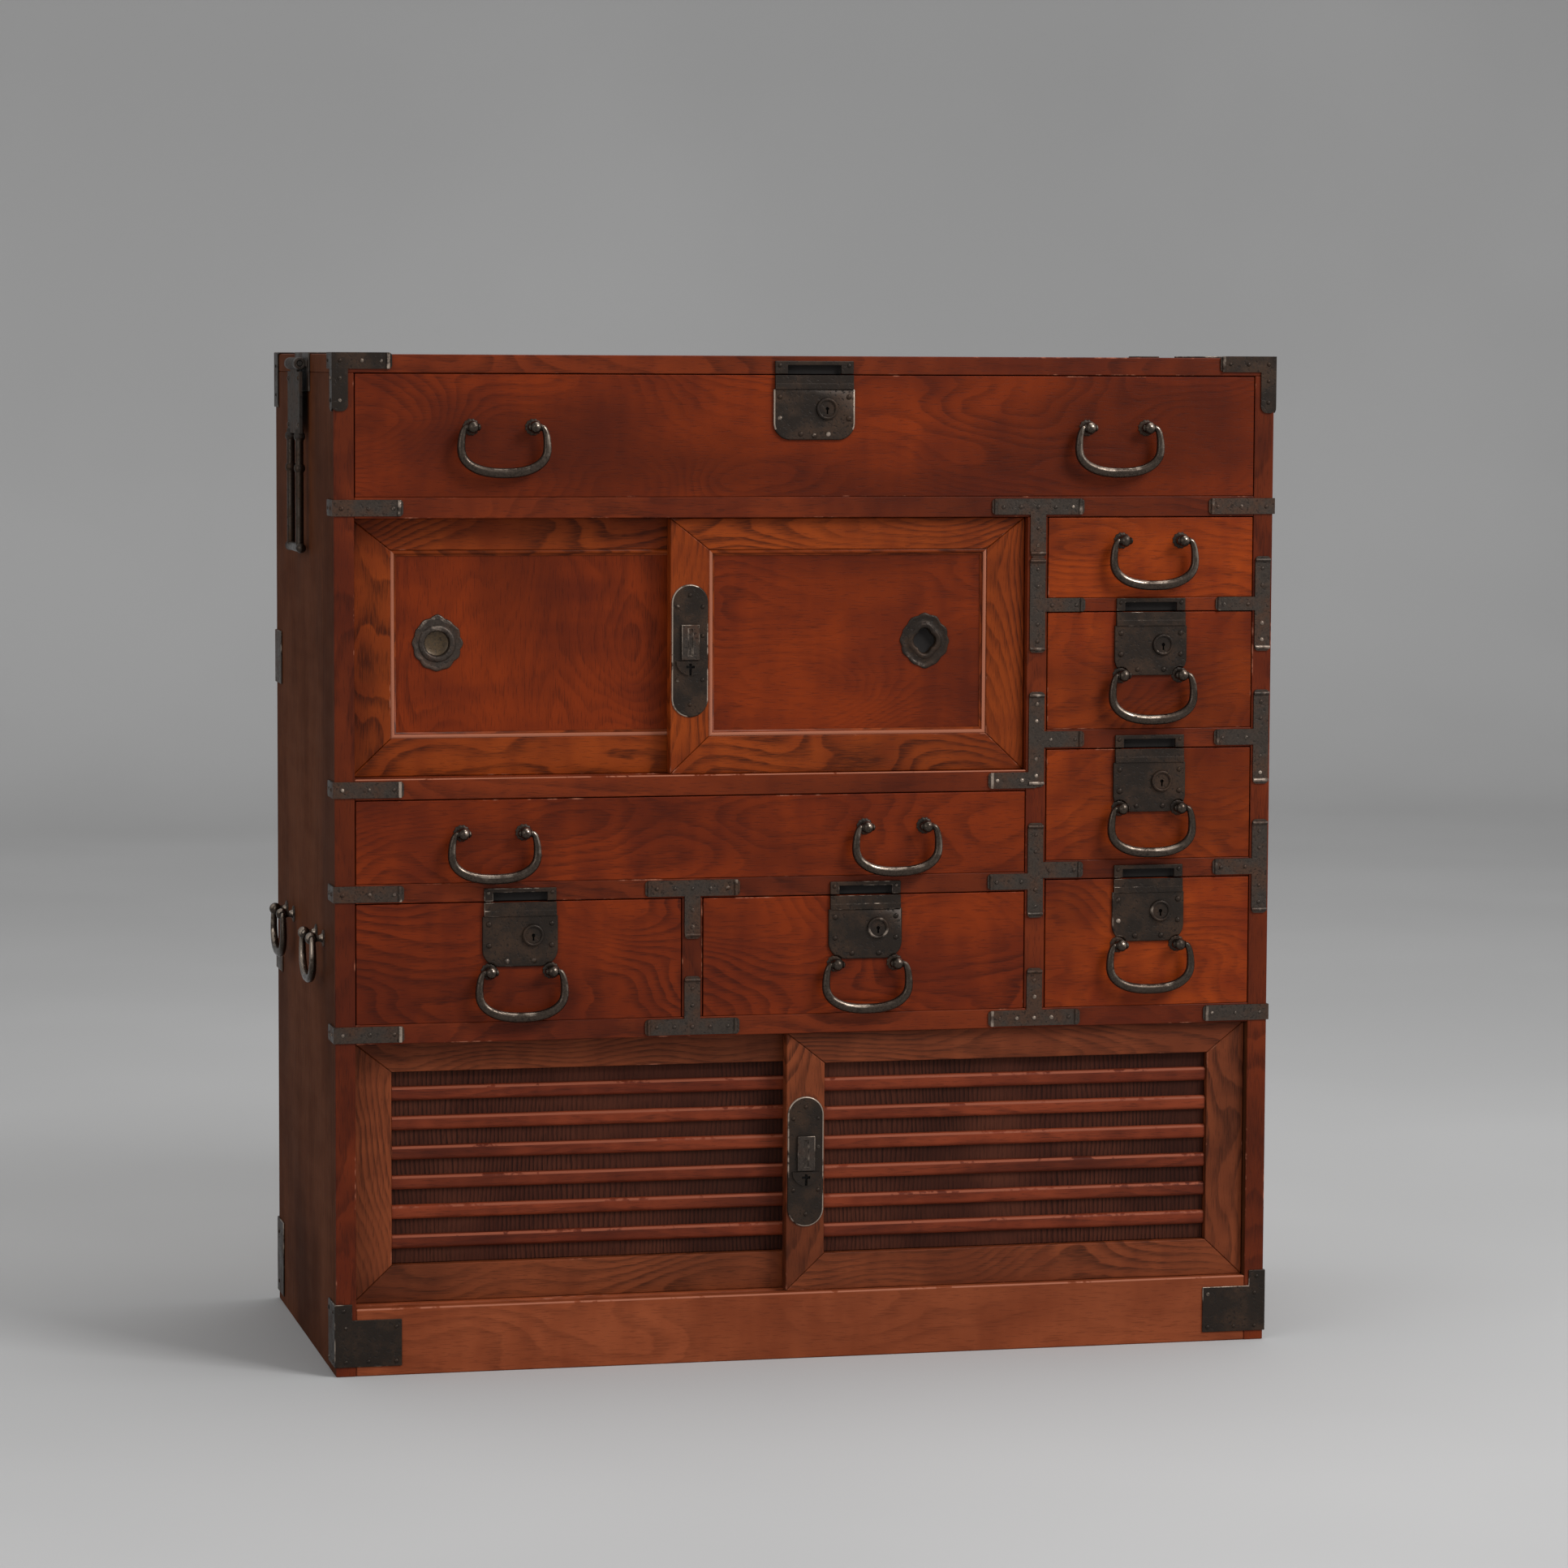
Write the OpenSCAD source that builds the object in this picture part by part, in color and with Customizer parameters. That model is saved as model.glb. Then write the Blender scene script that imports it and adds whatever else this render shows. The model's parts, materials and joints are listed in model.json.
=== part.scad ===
// Merchant's chest: a carcass of boards and rails with eight drawers, two pairs of
// sliding doors, iron straps, hanging bails, lock plates and carrying bars.
// Inside the modules x runs from the left edge, y from the front face back, z up.

/* [Case] */
// Width over the side boards
case_w = 900; // [860:1:1000]
// Depth from the front face to the back boards' outer face
case_d = 405; // [340:1:480]
// Thickness of the side boards
side_t = 19; // [16:0.5:22]
// Thickness of the top board
top_t = 17; // [14.5:0.5:22]
// Thickness of the back boards
back_t = 9; // [7:0.5:12]
// Number of back boards side by side
back_count = 3; // [2:1:5]
// Height of the base rail
base_h = 63; // [54:1:80]
// Thickness of the floor board and of the dust boards behind the rails
dust_t = 10; // [7:0.5:12]
// Depth of the front rails, which carry the door tracks
rail_depth = 50; // [48:1:70]
// Thickness of the ledge behind the base board
base_ledge_t = 18; // [14:0.5:24]
// Wood left in the base board behind the front track
base_wall = 3; // [2:0.5:5]

/* [Front layout] */
// Height of the top drawer's opening
top_drawer_h = 113.5; // [100:0.5:130]
// Height of the upper doors' opening
upper_door_h = 239; // [225:1:270]
// Height of the long drawer's opening
long_drawer_h = 77.5; // [74:0.5:95]
// Height of the small drawers' opening
small_drawer_h = 112; // [100:0.5:125]
// Height of the lower doors' opening
lower_door_h = 246.5; // [215:0.5:280]
// Thickness of the rail below the top drawer
rail_1_t = 19.5; // [17:0.5:24]
// Thickness of the rail below the upper doors
rail_2_t = 19.5; // [17:0.5:24]
// Thickness of the rail below the long drawer
rail_3_t = 18; // [16:0.5:24]
// Thickness of the rail below the small drawers
rail_4_t = 18.5; // [17:0.5:24]
// Width of the post between the left bay and the drawer column
post_w = 19.5; // [17:0.5:24]
// Width of the drawer column's openings
column_w = 203.5; // [190:0.5:240]
// Width of the left small drawer's opening
small_left_w = 307; // [280:1:330]
// Width of the divider between the small drawers
divider_w = 19.5; // [17:0.5:24]
// Height of the column's second opening from the top
column_2_h = 111.5; // [100:0.5:118]
// Height of the column's third opening
column_3_h = 106; // [100:0.5:112]
// Height of the column's lowest opening
column_4_h = 122.5; // [110:0.5:128]
// Thickness of the rail below the column's first drawer
column_rail_1_t = 13; // [13:0.5:16]
// Thickness of the rail below the column's second drawer
column_rail_2_t = 18.5; // [15:0.5:21]
// Thickness of the rail below the column's third drawer
column_rail_3_t = 18; // [15:0.5:21]

/* [Drawers] */
// Thickness of a drawer front
drawer_front_t = 18; // [15:0.5:22]
// Thickness of a drawer's sides and back
drawer_side_t = 9; // [7:0.5:12]
// Thickness of a drawer's bottom board
drawer_bottom_t = 6; // [5:0.5:9]
// Gap between a drawer and its opening at each side and on top
drawer_gap = 0.8; // [0.4:0.1:1.5]
// Free depth behind a closed drawer
drawer_back_gap = 12; // [5:1:40]
// How far a drawer's sides stand below the top of its front
drawer_side_drop = 4; // [2:0.5:8]

/* [Doors] */
// Thickness of a sliding door
door_t = 16; // [14.5:0.5:17]
// Setback of the front doors from the face of the case
door_setback = 9; // [7:0.5:12]
// Gap between the front and the rear doors
door_gap = 3; // [2.5:0.5:4]
// How far the two upper doors overlap
upper_overlap = 45; // [38:1:60]
// How far the two lower doors overlap
lower_overlap = 42; // [39:1:60]
// Width of the doors' stiles
stile_w = 37; // [36:0.5:48]
// Height of the doors' top rails, in view
door_top_rail_h = 30; // [26:0.5:40]
// Height of the doors' bottom rails, in view
door_bottom_rail_h = 35; // [28:0.5:44]
// Depth of the upper track grooves
top_groove = 7; // [5:0.5:9]
// Depth of the lower track grooves
bottom_groove = 3.5; // [2.5:0.5:5]
// Thickness of the tongues that run in the grooves
tongue_t = 7; // [5:0.5:9]
// Running clearance of a tongue and of a door's edges
door_clearance = 0.5; // [0.4:0.1:1]
// Setback of a door's panel or slats from its face
panel_setback = 5; // [4:0.5:6]
// Thickness of the upper doors' panels
panel_t = 6; // [5:0.5:7]
// Radius of the bead round an upper door's panel
bead_r = 2; // [1.5:0.1:2.3]
// Setback of a lower door's slats from its face
slat_setback = 3; // [2:0.5:4]
// Number of slats in a lower door
slat_count = 6; // [4:1:8]
// Height of one slat
slat_h = 13.5; // [9:0.5:15]
// Thickness of one slat
slat_t = 5; // [4:0.5:6]
// Thickness of the board behind the slats
backing_t = 4; // [3:0.5:4.5]

/* [Straps and corner plates] */
// Thickness of the iron plates
iron_t = 1.6; // [1.2:0.1:2]
// Width of the straps
strap_w = 15; // [12:0.5:16]
// Corner radius of a strap's end
strap_corner_r = 3.5; // [1:0.5:6]
// Corner radius at the foot of a top corner plate's leg
leg_corner_r = 6; // [1:0.5:6]
// Length of a belt on the front, from the corner
belt_front = 64; // [50:1:80]
// Length of a belt on the side, from the corner
belt_side = 34; // [25:1:50]
// Length of the bars of the T straps
tee_l = 90; // [76:1:100]
// How far a strap's branch reaches beside its post
branch_l = 37; // [30:1:45]
// Depth of the straps that hang from a crossing
stem_l = 40; // [32:1:45]
// Length of the top corner plates along the edge
corner_l = 54; // [45:1:70]
// Height of the top corner plates' legs
corner_leg = 52; // [40:1:65]
// How far the top corner plates lap onto the top board
corner_lap = 22; // [16:1:40]
// Width of the bottom corner plates
foot_plate_w = 63; // [50:1:80]
// Height of the bottom corner plates
foot_plate_h = 44; // [34:1:44]
// Height of the bottom corner plates above the ground
foot_plate_z = 9; // [5:1:10]
// How far the rear corner straps lap onto the side and the back
rear_lap = 42; // [30:1:55]
// How far the upper rear corner plate laps onto the side and the back
rear_top_lap = 25; // [18:1:40]
// Height of the rear corner straps at the top and the middle
rear_strap_h = 52; // [40:1:65]
// Height of the middle rear strap above the upper doors' sill
rear_strap_rise = 91; // [60:1:160]
// Height of the rear belt above the small drawers' lower edge
rear_belt_rise = 14; // [10:1:60]

/* [Bails] */
// Outer width of a front bail
bail_w = 88; // [84:1:96]
// Drop of a front bail from its pivot to its lower edge
bail_drop = 47; // [44:1:52]
// Distance between the posts of a front bail
bail_post_gap = 58; // [54:1:60]
// Outer width of a side bail
side_bail_w = 80; // [76:1:90]
// Drop of a side bail
side_bail_drop = 44; // [40:1:52]
// Distance between the posts of a side bail
side_bail_post_gap = 50; // [46:1:52]
// Radius of a bail's bar at the middle
bail_mid_r = 5; // [4:0.1:5.2]
// Radius of a bail's bar at its tips
bail_tip_r = 2.4; // [2.2:0.1:2.6]
// Radius of a bail's pivot pins
bail_pin_r = 2.1; // [1.6:0.1:2.2]
// Clearance of a pin in its post
pin_clearance = 0.4; // [0.3:0.05:0.6]
// Radius of the ball at the head of a post
ball_r = 5.8; // [5.6:0.1:6.2]
// Radius of the rosette under a post
rosette_r = 7.5; // [6.5:0.1:9]
// Distance of the bails' pivot axes from the wood
bail_out = 12; // [11:0.5:14]
// Distance of the upper bails from the ends of the top drawer
top_bail_inset = 137; // [80:1:200]
// Height of the top bails' pivots above the middle of the top drawer
top_bail_rise = 7.5; // [4:0.5:12]
// Distance of the bails from the ends of the long drawer
long_bail_inset = 128; // [80:1:180]
// How far the long drawer's bails hang above its lower edge
long_bail_lift = -1; // [-2:0.5:6]
// How far the small drawers' bails hang above their lower edge
small_bail_lift = 0; // [0:0.5:3]
// How far the bail of the column's highest drawer hangs above the lower edge
column_1_bail_lift = 7; // [3:0.5:9]
// How far the bail of the column's second drawer hangs above the lower edge
column_2_bail_lift = 4; // [2:0.5:6]
// How far the bail of the column's third drawer hangs above the lower edge
column_3_bail_lift = 2; // [0:0.5:3]
// How far the bail of the column's lowest drawer hangs above the lower edge
column_4_bail_lift = 12; // [6:0.5:14]
// Height of the side bails' pivots above the ground
side_bail_z = 401; // [340:1:600]
// Distance between a side's two bails
side_bail_spacing = 210; // [130:1:230]

/* [Drawer locks] */
// Width of the top drawer's lock plate
top_lock_w = 78; // [72:1:84]
// Width of the other drawers' lock plates
lock_w = 71; // [66:1:78]
// Thickness of the lock plates and their strikes
lock_t = 3; // [1.6:0.2:4]
// How far the lock plate stands out beside its band and strike
band_lip = 1.5; // [0.5:0.5:3]
// Height of the plate below its moulded band
lock_h = 47; // [40:1:48]
// Height of the moulded band at the drawer's top edge
band_h = 13; // [11:0.5:15]
// Corner radius at the foot of the lock plate
lock_corner_r = 16; // [8:1:24]
// Height of the strike plate on the rail above
strike_h = 12; // [11.5:0.1:12.5]
// Width of the bolt
bolt_w = 50; // [40:1:54]
// Height of the bolt
bolt_h = 24; // [18:1:30]
// Thickness of the bolt
bolt_t = 3; // [2:0.5:4]
// Lift of the bolt into its strike
bolt_lift = 8; // [6:0.5:8]
// Clearance round the bolt
bolt_clearance = 0.4; // [0.3:0.1:0.5]
// Sideways place of the keyhole boss from the plate's middle
boss_x = 12; // [6:1:20]
// Radius of the keyhole boss
boss_r = 10; // [8:0.5:11]
// Depth of the boss's middle below the moulded band
boss_drop = 18; // [15:0.5:22]
// How far the boss stands out of the plate
boss_t = 2.4; // [1.6:0.1:3]

/* [Door fittings] */
// Width of a door's lock plate
door_lock_w = 35; // [30:0.5:35.5]
// Height of a door's lock plate
door_lock_h = 124; // [110:1:140]
// Width of the sliding latch button
latch_w = 17; // [13:0.5:20]
// Height of the sliding latch button
latch_h = 33; // [28:0.5:36]
// Thickness of the latch button
latch_t = 3; // [2.5:0.5:4]
// Height of the latch button above the middle of its plate
latch_rise = 8; // [4:0.5:10]
// Travel of the latch button
latch_lift = 8; // [5:0.5:9]
// Outer radius of a finger pull across its lobes
pull_r = 25; // [22:0.5:30]
// Radius of the round cup of the left pull
cup_r = 13; // [11:0.5:15]
// Distance of the left pull from its door's left edge
left_pull_x = 81; // [70:1:120]
// Distance of the right pull from its door's right edge
right_pull_inset = 96; // [70:1:120]
// Height of the finger pulls above the middle of the opening
pull_rise = 3; // [-10:1:10]
// Radius of one leaf of the right pull's four-leaved recess
leaf_r = 7; // [6:0.5:8]
// Depth of the finger pulls behind their rims
pull_depth = 7; // [6.5:0.1:7.5]

/* [Carrying bars] */
// Width of a carrying bar's plate
carry_w = 84; // [70:1:100]
// Height of a carrying bar's plate below its pivot
carry_plate_h = 66; // [50:1:80]
// Length of a carrying bar below its pivot
carry_l = 178; // [140:1:200]
// Distance between the two legs of a carrying bar
carry_leg_gap = 62; // [52:1:70]
// Radius of the legs
carry_leg_r = 3.8; // [3:0.1:4.5]
// Radius of a carrying bar's barrel
carry_barrel_r = 5.6; // [5:0.1:6]
// Distance of the pivot axis from the side board
carry_out = 8; // [7.8:0.1:10]
// Depth of the pivot axis below the top of the case
carry_drop = 9; // [8:0.5:14]
// Thickness of a carrying bar's plate
carry_plate_t = 3; // [2.5:0.5:4]
// Distance between the two collars of a leg
carry_collar_gap = 30; // [24:1:60]

/* [Hidden] */
$fn = 48;
joint = 0.1;
plate_gap = 0.4;
side_gap = 0.2;
mortise_t = bolt_t + 2 * bolt_clearance;
mortise_w = bolt_w + 2 * bolt_clearance;

rail_4_z = base_h + lower_door_h;
small_z = rail_4_z + rail_4_t;
rail_3_z = small_z + small_drawer_h;
long_z = rail_3_z + rail_3_t;
rail_2_z = long_z + long_drawer_h;
upper_z = rail_2_z + rail_2_t;
rail_1_z = upper_z + upper_door_h;
top_drawer_z = rail_1_z + rail_1_t;
top_z = top_drawer_z + top_drawer_h;
case_h = top_z + top_t;

column_4_z = small_z;
column_rail_3_z = column_4_z + column_4_h;
column_3_z = column_rail_3_z + column_rail_3_t;
column_rail_2_z = column_3_z + column_3_h;
column_2_z = column_rail_2_z + column_rail_2_t;
column_rail_1_z = column_2_z + column_2_h;
column_1_z = column_rail_1_z + column_rail_1_t;
column_1_h = rail_1_z - column_1_z;

inner_w = case_w - 2 * side_t;
column_x = case_w - side_t - column_w;
post_x = column_x - post_w;
bay_w = post_x - side_t;
divider_x = side_t + small_left_w;
small_right_x = divider_x + divider_w;
small_right_w = post_x - small_right_x;
inner_d = case_d - back_t;
drawer_d = inner_d - drawer_back_gap;

front_door_y = door_setback;
rear_door_y = door_setback + door_t + door_gap;
groove_t = tongue_t + 2 * door_clearance;
upper_door_w = (bay_w + upper_overlap) / 2 - door_clearance;
lower_door_w = (inner_w + lower_overlap) / 2 - door_clearance;
base_board_t = front_door_y + (door_t + groove_t) / 2 + base_wall;
right_pull_x = upper_door_w - right_pull_inset;
pull_wall = 1.2;
left_pull_lobes = 16;
right_pull_lobes = 20;
pull_lobe_r = 4;
pull_lobe_bite = 1.5;
pull_collar = 4;
pull_collar_t = 1;
upper_lock_drop = 4.5;
upper_lock_z = upper_door_h / 2 - upper_lock_drop;
lower_lock_z = lower_door_h / 2;
latch_tongue_w = 5;
latch_tongue_h = 14;
latch_tongue_t = 3;
latch_groove = [4, 25, 1.5];
half_boss_r = 13.3;
half_boss_t = 2;
door_keyhole = [2.4, 11];
door_keyhole_bar = [8, 2.4];
keyhole_r = 1.7;
keyhole_slot = [1.6, 5];
boss_rim = 2.5;
rosette_t = 1.2;
stem_base_r = 4.6;
stem_neck_r = 2.8;
carry_barrel_l = 46;
carry_knuckle_l = 13;
carry_pin_r = 2.4;
carry_leaf_drop = 26;
carry_leaf_lap = 7;
carry_neck_gap = 2;
carry_bar_swell = 0.4;
carry_collar_swell = 1.6;
carry_knob_swell = 0.6;

front_out = bail_out + ball_r;
back_out = iron_t;
front_y = (front_out - back_out - case_d) / 2;
bail_rings = 7;
bail_sides = 10;
bail_knee = 0.44;
bail_squareness = 0.85;
bail_taper = 1.3;
bail_side_r = bail_mid_r - (bail_mid_r - bail_tip_r) * pow(0.5, bail_taper);
nib_inset = 3.5;
nib_rise = 0.3;
nib_margin = 0.2;
band_rise = 0.7;
band_share = 0.4;

lacquer = [0.43, 0.16, 0.08];
side_wood = [0.32, 0.2, 0.14];
inner_wood = [0.62, 0.46, 0.3];
iron = [0.17, 0.15, 0.14];

// ---- Placing ----

// Moves the case from its corner to the middle of its footprint
module in_frame() { translate([-case_w / 2, front_y, 0]) children(); }

// Draws on the front: the outline's y becomes z, and the plate grows forwards from y
module front_plate(t, y = 0) {
    translate([0, y, 0]) rotate([90, 0, 0]) linear_extrude(t) children();
}

// Draws on the left side: the outline's x becomes depth, and the plate grows outwards
module side_plate(t) {
    translate([-t, 0, 0]) rotate([90, 0, 90]) linear_extrude(t) children();
}

// Draws on the back, seen from the front
module back_plate(t) { translate([0, case_d + t, 0]) front_plate(t) children(); }

// Repeats its children on the right side as a mirror image
module both_sides() {
    children();
    right_side() children();
}

module right_side() { translate([case_w, 0, 0]) mirror([1, 0, 0]) children(); }

// ---- Case boards ----

module side_board() { cube([side_t, case_d, top_z]); }

module left_side_board() { color(side_wood) in_frame() side_board(); }

module right_side_board() { color(side_wood) in_frame() right_side() side_board(); }

module top_board() {
    color(lacquer) in_frame() difference() {
        translate([0, 0, top_z]) cube([case_w, case_d, top_t]);
        bolt_mortise(case_w / 2, top_z);
    }
}

module floor_board() {
    color(inner_wood) in_frame() translate([side_t, rail_depth, base_h - dust_t])
        cube([inner_w, inner_d - rail_depth, dust_t]);
}

module back_boards() {
    w = (inner_w - (back_count - 1) * joint) / back_count;
    color(inner_wood) in_frame() for (i = [0 : back_count - 1])
        translate([side_t + i * (w + joint), inner_d, 0]) cube([w, back_t, top_z]);
}

// Shallow pocket behind a strike plate, which takes the bolt
module bolt_mortise(x, z) {
    translate([x - mortise_w / 2, -1, z - 1])
        cube([mortise_w, mortise_t + 1, bolt_lift + 1 + bolt_clearance]);
}

// The two track grooves, cut into a face at height z, upwards or downwards
module track_grooves(x, w, z, depth, up) {
    for (y = [front_door_y, rear_door_y])
        translate([x - 1, y + (door_t - groove_t) / 2, up ? z - 1 : z - depth])
            cube([w + 2, groove_t, depth + 1]);
}

// A front rail and behind it a thinner dust board, flush on top
module rail_with_board(x, w, z, t) {
    board_y = rail_depth + joint;
    translate([x, 0, z]) cube([w, rail_depth, t]);
    translate([x, board_y, z + t - dust_t]) cube([w, inner_d - board_y, dust_t]);
}

// Base board, and behind it the ledge that carries the rear track
module base_rail() {
    color(lacquer) in_frame() difference() {
        union() {
            translate([side_t, 0, 0]) cube([inner_w, base_board_t, base_h]);
            translate([side_t, base_board_t + joint, base_h - base_ledge_t])
                cube([inner_w, rail_depth - base_board_t - joint, base_ledge_t]);
        }
        track_grooves(side_t, inner_w, base_h, bottom_groove, false);
    }
}

// Full rails below the top drawer and the small drawers, and the left bay's two rails
module shelves() {
    color(lacquer) in_frame() {
        difference() {
            rail_with_board(side_t, inner_w, rail_1_z, rail_1_t);
            intersection() {
                track_grooves(side_t, bay_w, rail_1_z, top_groove, true);
                translate([side_t, 0, 0]) cube([bay_w, rail_depth, case_h]);
            }
        }
        difference() {
            rail_with_board(side_t, bay_w, rail_2_z, rail_2_t);
            track_grooves(side_t, bay_w, upper_z, bottom_groove, false);
        }
        difference() {
            rail_with_board(side_t, bay_w, rail_3_z, rail_3_t);
            bolt_mortise(small_left_mid, rail_3_z);
            bolt_mortise(small_right_mid, rail_3_z);
        }
        difference() {
            rail_with_board(side_t, inner_w, rail_4_z, rail_4_t);
            track_grooves(side_t, inner_w, rail_4_z, top_groove, true);
        }
    }
}

module column_shelves() {
    color(lacquer) in_frame()
        for (r = [[column_rail_1_z, column_rail_1_t], [column_rail_2_z, column_rail_2_t],
                  [column_rail_3_z, column_rail_3_t]])
            difference() {
                rail_with_board(column_x, column_w, r[0], r[1]);
                bolt_mortise(column_x_mid, r[0]);
            }
}

module partitions() {
    color(lacquer) in_frame() {
        translate([post_x, 0, small_z]) cube([post_w, inner_d, rail_1_z - small_z]);
        translate([divider_x, 0, small_z]) cube([divider_w, inner_d, small_drawer_h]);
    }
}

// ---- Straps and corner plates ----

// A strap along +x with rounded corners at its end; the start is square
module strap_outline(l, w = strap_w, r = strap_corner_r) {
    translate([0, -w / 2]) square([l - r, w]);
    translate([0, r - w / 2]) square([l, w - 2 * r]);
    for (side = [-1, 1]) translate([l - r, side * (w / 2 - r)]) circle(r);
}

// The raised half-round nib across a strap's end, on the front at the strap's start x, z
module end_nib(x, z, angle, l, w = strap_w) {
    translate([x, 0, z]) rotate([0, -angle, 0])
        translate([l - nib_inset, -iron_t - nib_rise, nib_margin - w / 2])
            cylinder(r = iron_t + nib_rise - nib_margin, h = w - 2 * nib_margin);
}

// One arm of a strap on the front, with its nib
module strap_arm(x, z, angle, l, w = strap_w) {
    front_plate(iron_t) translate([x, z]) rotate(angle) strap_outline(l, w);
    end_nib(x, z, angle, l, w);
}

// A belt round the front corner at height z
module belt(z) {
    strap_arm(-iron_t, z, 0, belt_front + iron_t);
    side_plate(iron_t) translate([-iron_t, z]) strap_outline(belt_side + iron_t);
}

// An upright strap on a post with branches on its rails: [z, direction, rail height]
module post_strap(x, z, branches) {
    for (angle = [90, -90]) strap_arm(x, z, angle, tee_l / 2);
    for (b = branches)
        strap_arm(x, b[0], b[1] > 0 ? 0 : 180, post_w / 2 + branch_l,
                  min(strap_w, b[2] - side_gap));
}

// A bar on a rail with a stem along the post that meets it, up or down
module tee_strap(x, z, dir) {
    for (angle = [0, 180]) strap_arm(x, z, angle, tee_l / 2);
    strap_arm(x, z, 90 * dir, strap_w / 2 + stem_l);
}

module edge_brackets() {
    post = post_x + post_w / 2;
    rail_1 = rail_1_z + rail_1_t / 2;
    rail_2 = rail_2_z + rail_2_t / 2;
    rail_3 = rail_3_z + rail_3_t / 2;
    rail_4 = rail_4_z + rail_4_t / 2;
    column_1 = column_rail_1_z + column_rail_1_t / 2;
    column_2 = column_rail_2_z + column_rail_2_t / 2;
    column_3 = column_rail_3_z + column_rail_3_t / 2;
    stile = case_w - side_t / 2;
    divider = divider_x + divider_w / 2;
    color(iron) in_frame() {
        for (z = [rail_1, rail_2, rail_3, rail_4]) belt(z);
        right_side() for (z = [rail_1, rail_4]) belt(z);
        tee_strap(post, rail_1, -1);
        tee_strap(post, rail_4, 1);
        tee_strap(divider, rail_3, -1);
        tee_strap(divider, rail_4, 1);
        post_strap(post, column_1, [[column_1, 1, column_rail_1_t]]);
        post_strap(post, column_2, [[column_2, 1, column_rail_2_t], [rail_2, -1, rail_2_t]]);
        post_strap(post, column_3, [[column_3, 1, column_rail_3_t], [rail_3, -1, rail_3_t]]);
        for (b = [[column_1, column_rail_1_t], [column_2, column_rail_2_t],
                  [column_3, column_rail_3_t]])
            post_strap(stile, b[0], [[b[0], -1, b[1]]]);
        both_sides() rear_straps();
    }
}

// Angle straps on the rear edge: one upright in the middle, one belt lower down
module rear_straps() {
    rear_angle(upper_z + rear_strap_rise, rear_strap_h, rear_lap);
    rear_angle(small_z + rear_belt_rise, strap_w, rear_lap);
}

// A plate bent round the rear corner: height h around z, lapping onto side and back
module rear_angle(z, h, lap) {
    side_plate(iron_t) translate([case_d - lap, z - h / 2]) square([lap + iron_t, h]);
    back_plate(iron_t) translate([-iron_t, z - h / 2]) square([lap + iron_t, h]);
}

// Corner plate on the front's upper corner, lapping onto the side and the top
module top_corner_plate() {
    front_plate(iron_t) {
        translate([-iron_t, case_h - strap_w / 2 + iron_t])
            strap_outline(corner_l + iron_t);
        translate([strap_w / 2 - iron_t, case_h + iron_t])
            rotate(-90) strap_outline(corner_leg + iron_t, strap_w, leg_corner_r);
    }
    side_plate(iron_t) {
        translate([-iron_t, case_h - strap_w + iron_t]) square([belt_side, strap_w]);
        translate([strap_w / 2 - iron_t, case_h + iron_t])
            rotate(-90) strap_outline(corner_leg + iron_t, strap_w, leg_corner_r);
    }
    end_nib(-iron_t, case_h - strap_w / 2 + iron_t, 0, corner_l + iron_t);
    translate([-iron_t, -iron_t, case_h]) cube([corner_lap, belt_side, iron_t]);
}

module foot_corner_plate() {
    tab_h = strap_w;
    front_plate(iron_t) {
        translate([-iron_t, foot_plate_z]) square([foot_plate_w, foot_plate_h]);
        translate([-iron_t, foot_plate_z]) square([strap_w + iron_t, foot_plate_h + tab_h]);
    }
    side_plate(iron_t) translate([-iron_t, foot_plate_z])
        square([rear_lap, foot_plate_h + tab_h]);
}

// Corner plates at the rear, on the top edge and at the foot
module rear_corner_plates() {
    top_h = rear_strap_h;
    foot_h = foot_plate_h + strap_w * 2;
    rear_angle(case_h - top_h / 2, top_h, rear_top_lap);
    translate([-iron_t, case_d - belt_side, case_h])
        cube([corner_lap, belt_side + iron_t, iron_t]);
    rear_angle(foot_plate_z + foot_h / 2, foot_h, rear_lap);
}

module corner_brackets() {
    color(iron) in_frame() both_sides() {
        top_corner_plate();
        foot_corner_plate();
        rear_corner_plates();
    }
}

// ---- Drawers ----

// Front, sides, back and bottom of a drawer, for an opening at x, z of size w, h
module drawer(x, z, w, h, lock = true) {
    fw = w - 2 * drawer_gap;
    fh = h - drawer_gap;
    box_y = drawer_front_t + joint;
    box_z = drawer_bottom_t + joint;
    side_h = fh - drawer_side_drop - box_z;
    color(lacquer) in_frame() translate([x + drawer_gap, 0, z]) {
        difference() {
            cube([fw, drawer_front_t, fh]);
            if (lock) lock_pocket(fw / 2, fh);
        }
        translate([0, box_y, 0]) cube([fw, drawer_d - box_y, drawer_bottom_t]);
        for (sx = [0, fw - drawer_side_t])
            translate([sx, box_y, box_z]) cube([drawer_side_t, drawer_d - box_y, side_h]);
        translate([drawer_side_t + joint, drawer_d - drawer_side_t, box_z])
            cube([fw - 2 * (drawer_side_t + joint), drawer_side_t, side_h - drawer_side_drop]);
    }
}

// Pocket in a drawer front, open upwards, in which the bolt slides
module lock_pocket(x, top) {
    translate([x - mortise_w / 2, -1, top - bolt_h - 2 * bolt_clearance])
        cube([mortise_w, mortise_t + 1, bolt_h + 1 + 2 * bolt_clearance]);
}

module drawer_top() { drawer(side_t, top_drawer_z, inner_w, top_drawer_h); }
module drawer_long() { drawer(side_t, long_z, bay_w, long_drawer_h, false); }
module drawer_small_left() { drawer(side_t, small_z, small_left_w, small_drawer_h); }
module drawer_small_right() {
    drawer(small_right_x, small_z, small_right_w, small_drawer_h);
}
module drawer_column_1() { drawer(column_x, column_1_z, column_w, column_1_h, false); }
module drawer_column_2() { drawer(column_x, column_2_z, column_w, column_2_h); }
module drawer_column_3() { drawer(column_x, column_3_z, column_w, column_3_h); }
module drawer_column_4() { drawer(column_x, column_4_z, column_w, column_4_h); }

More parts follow.
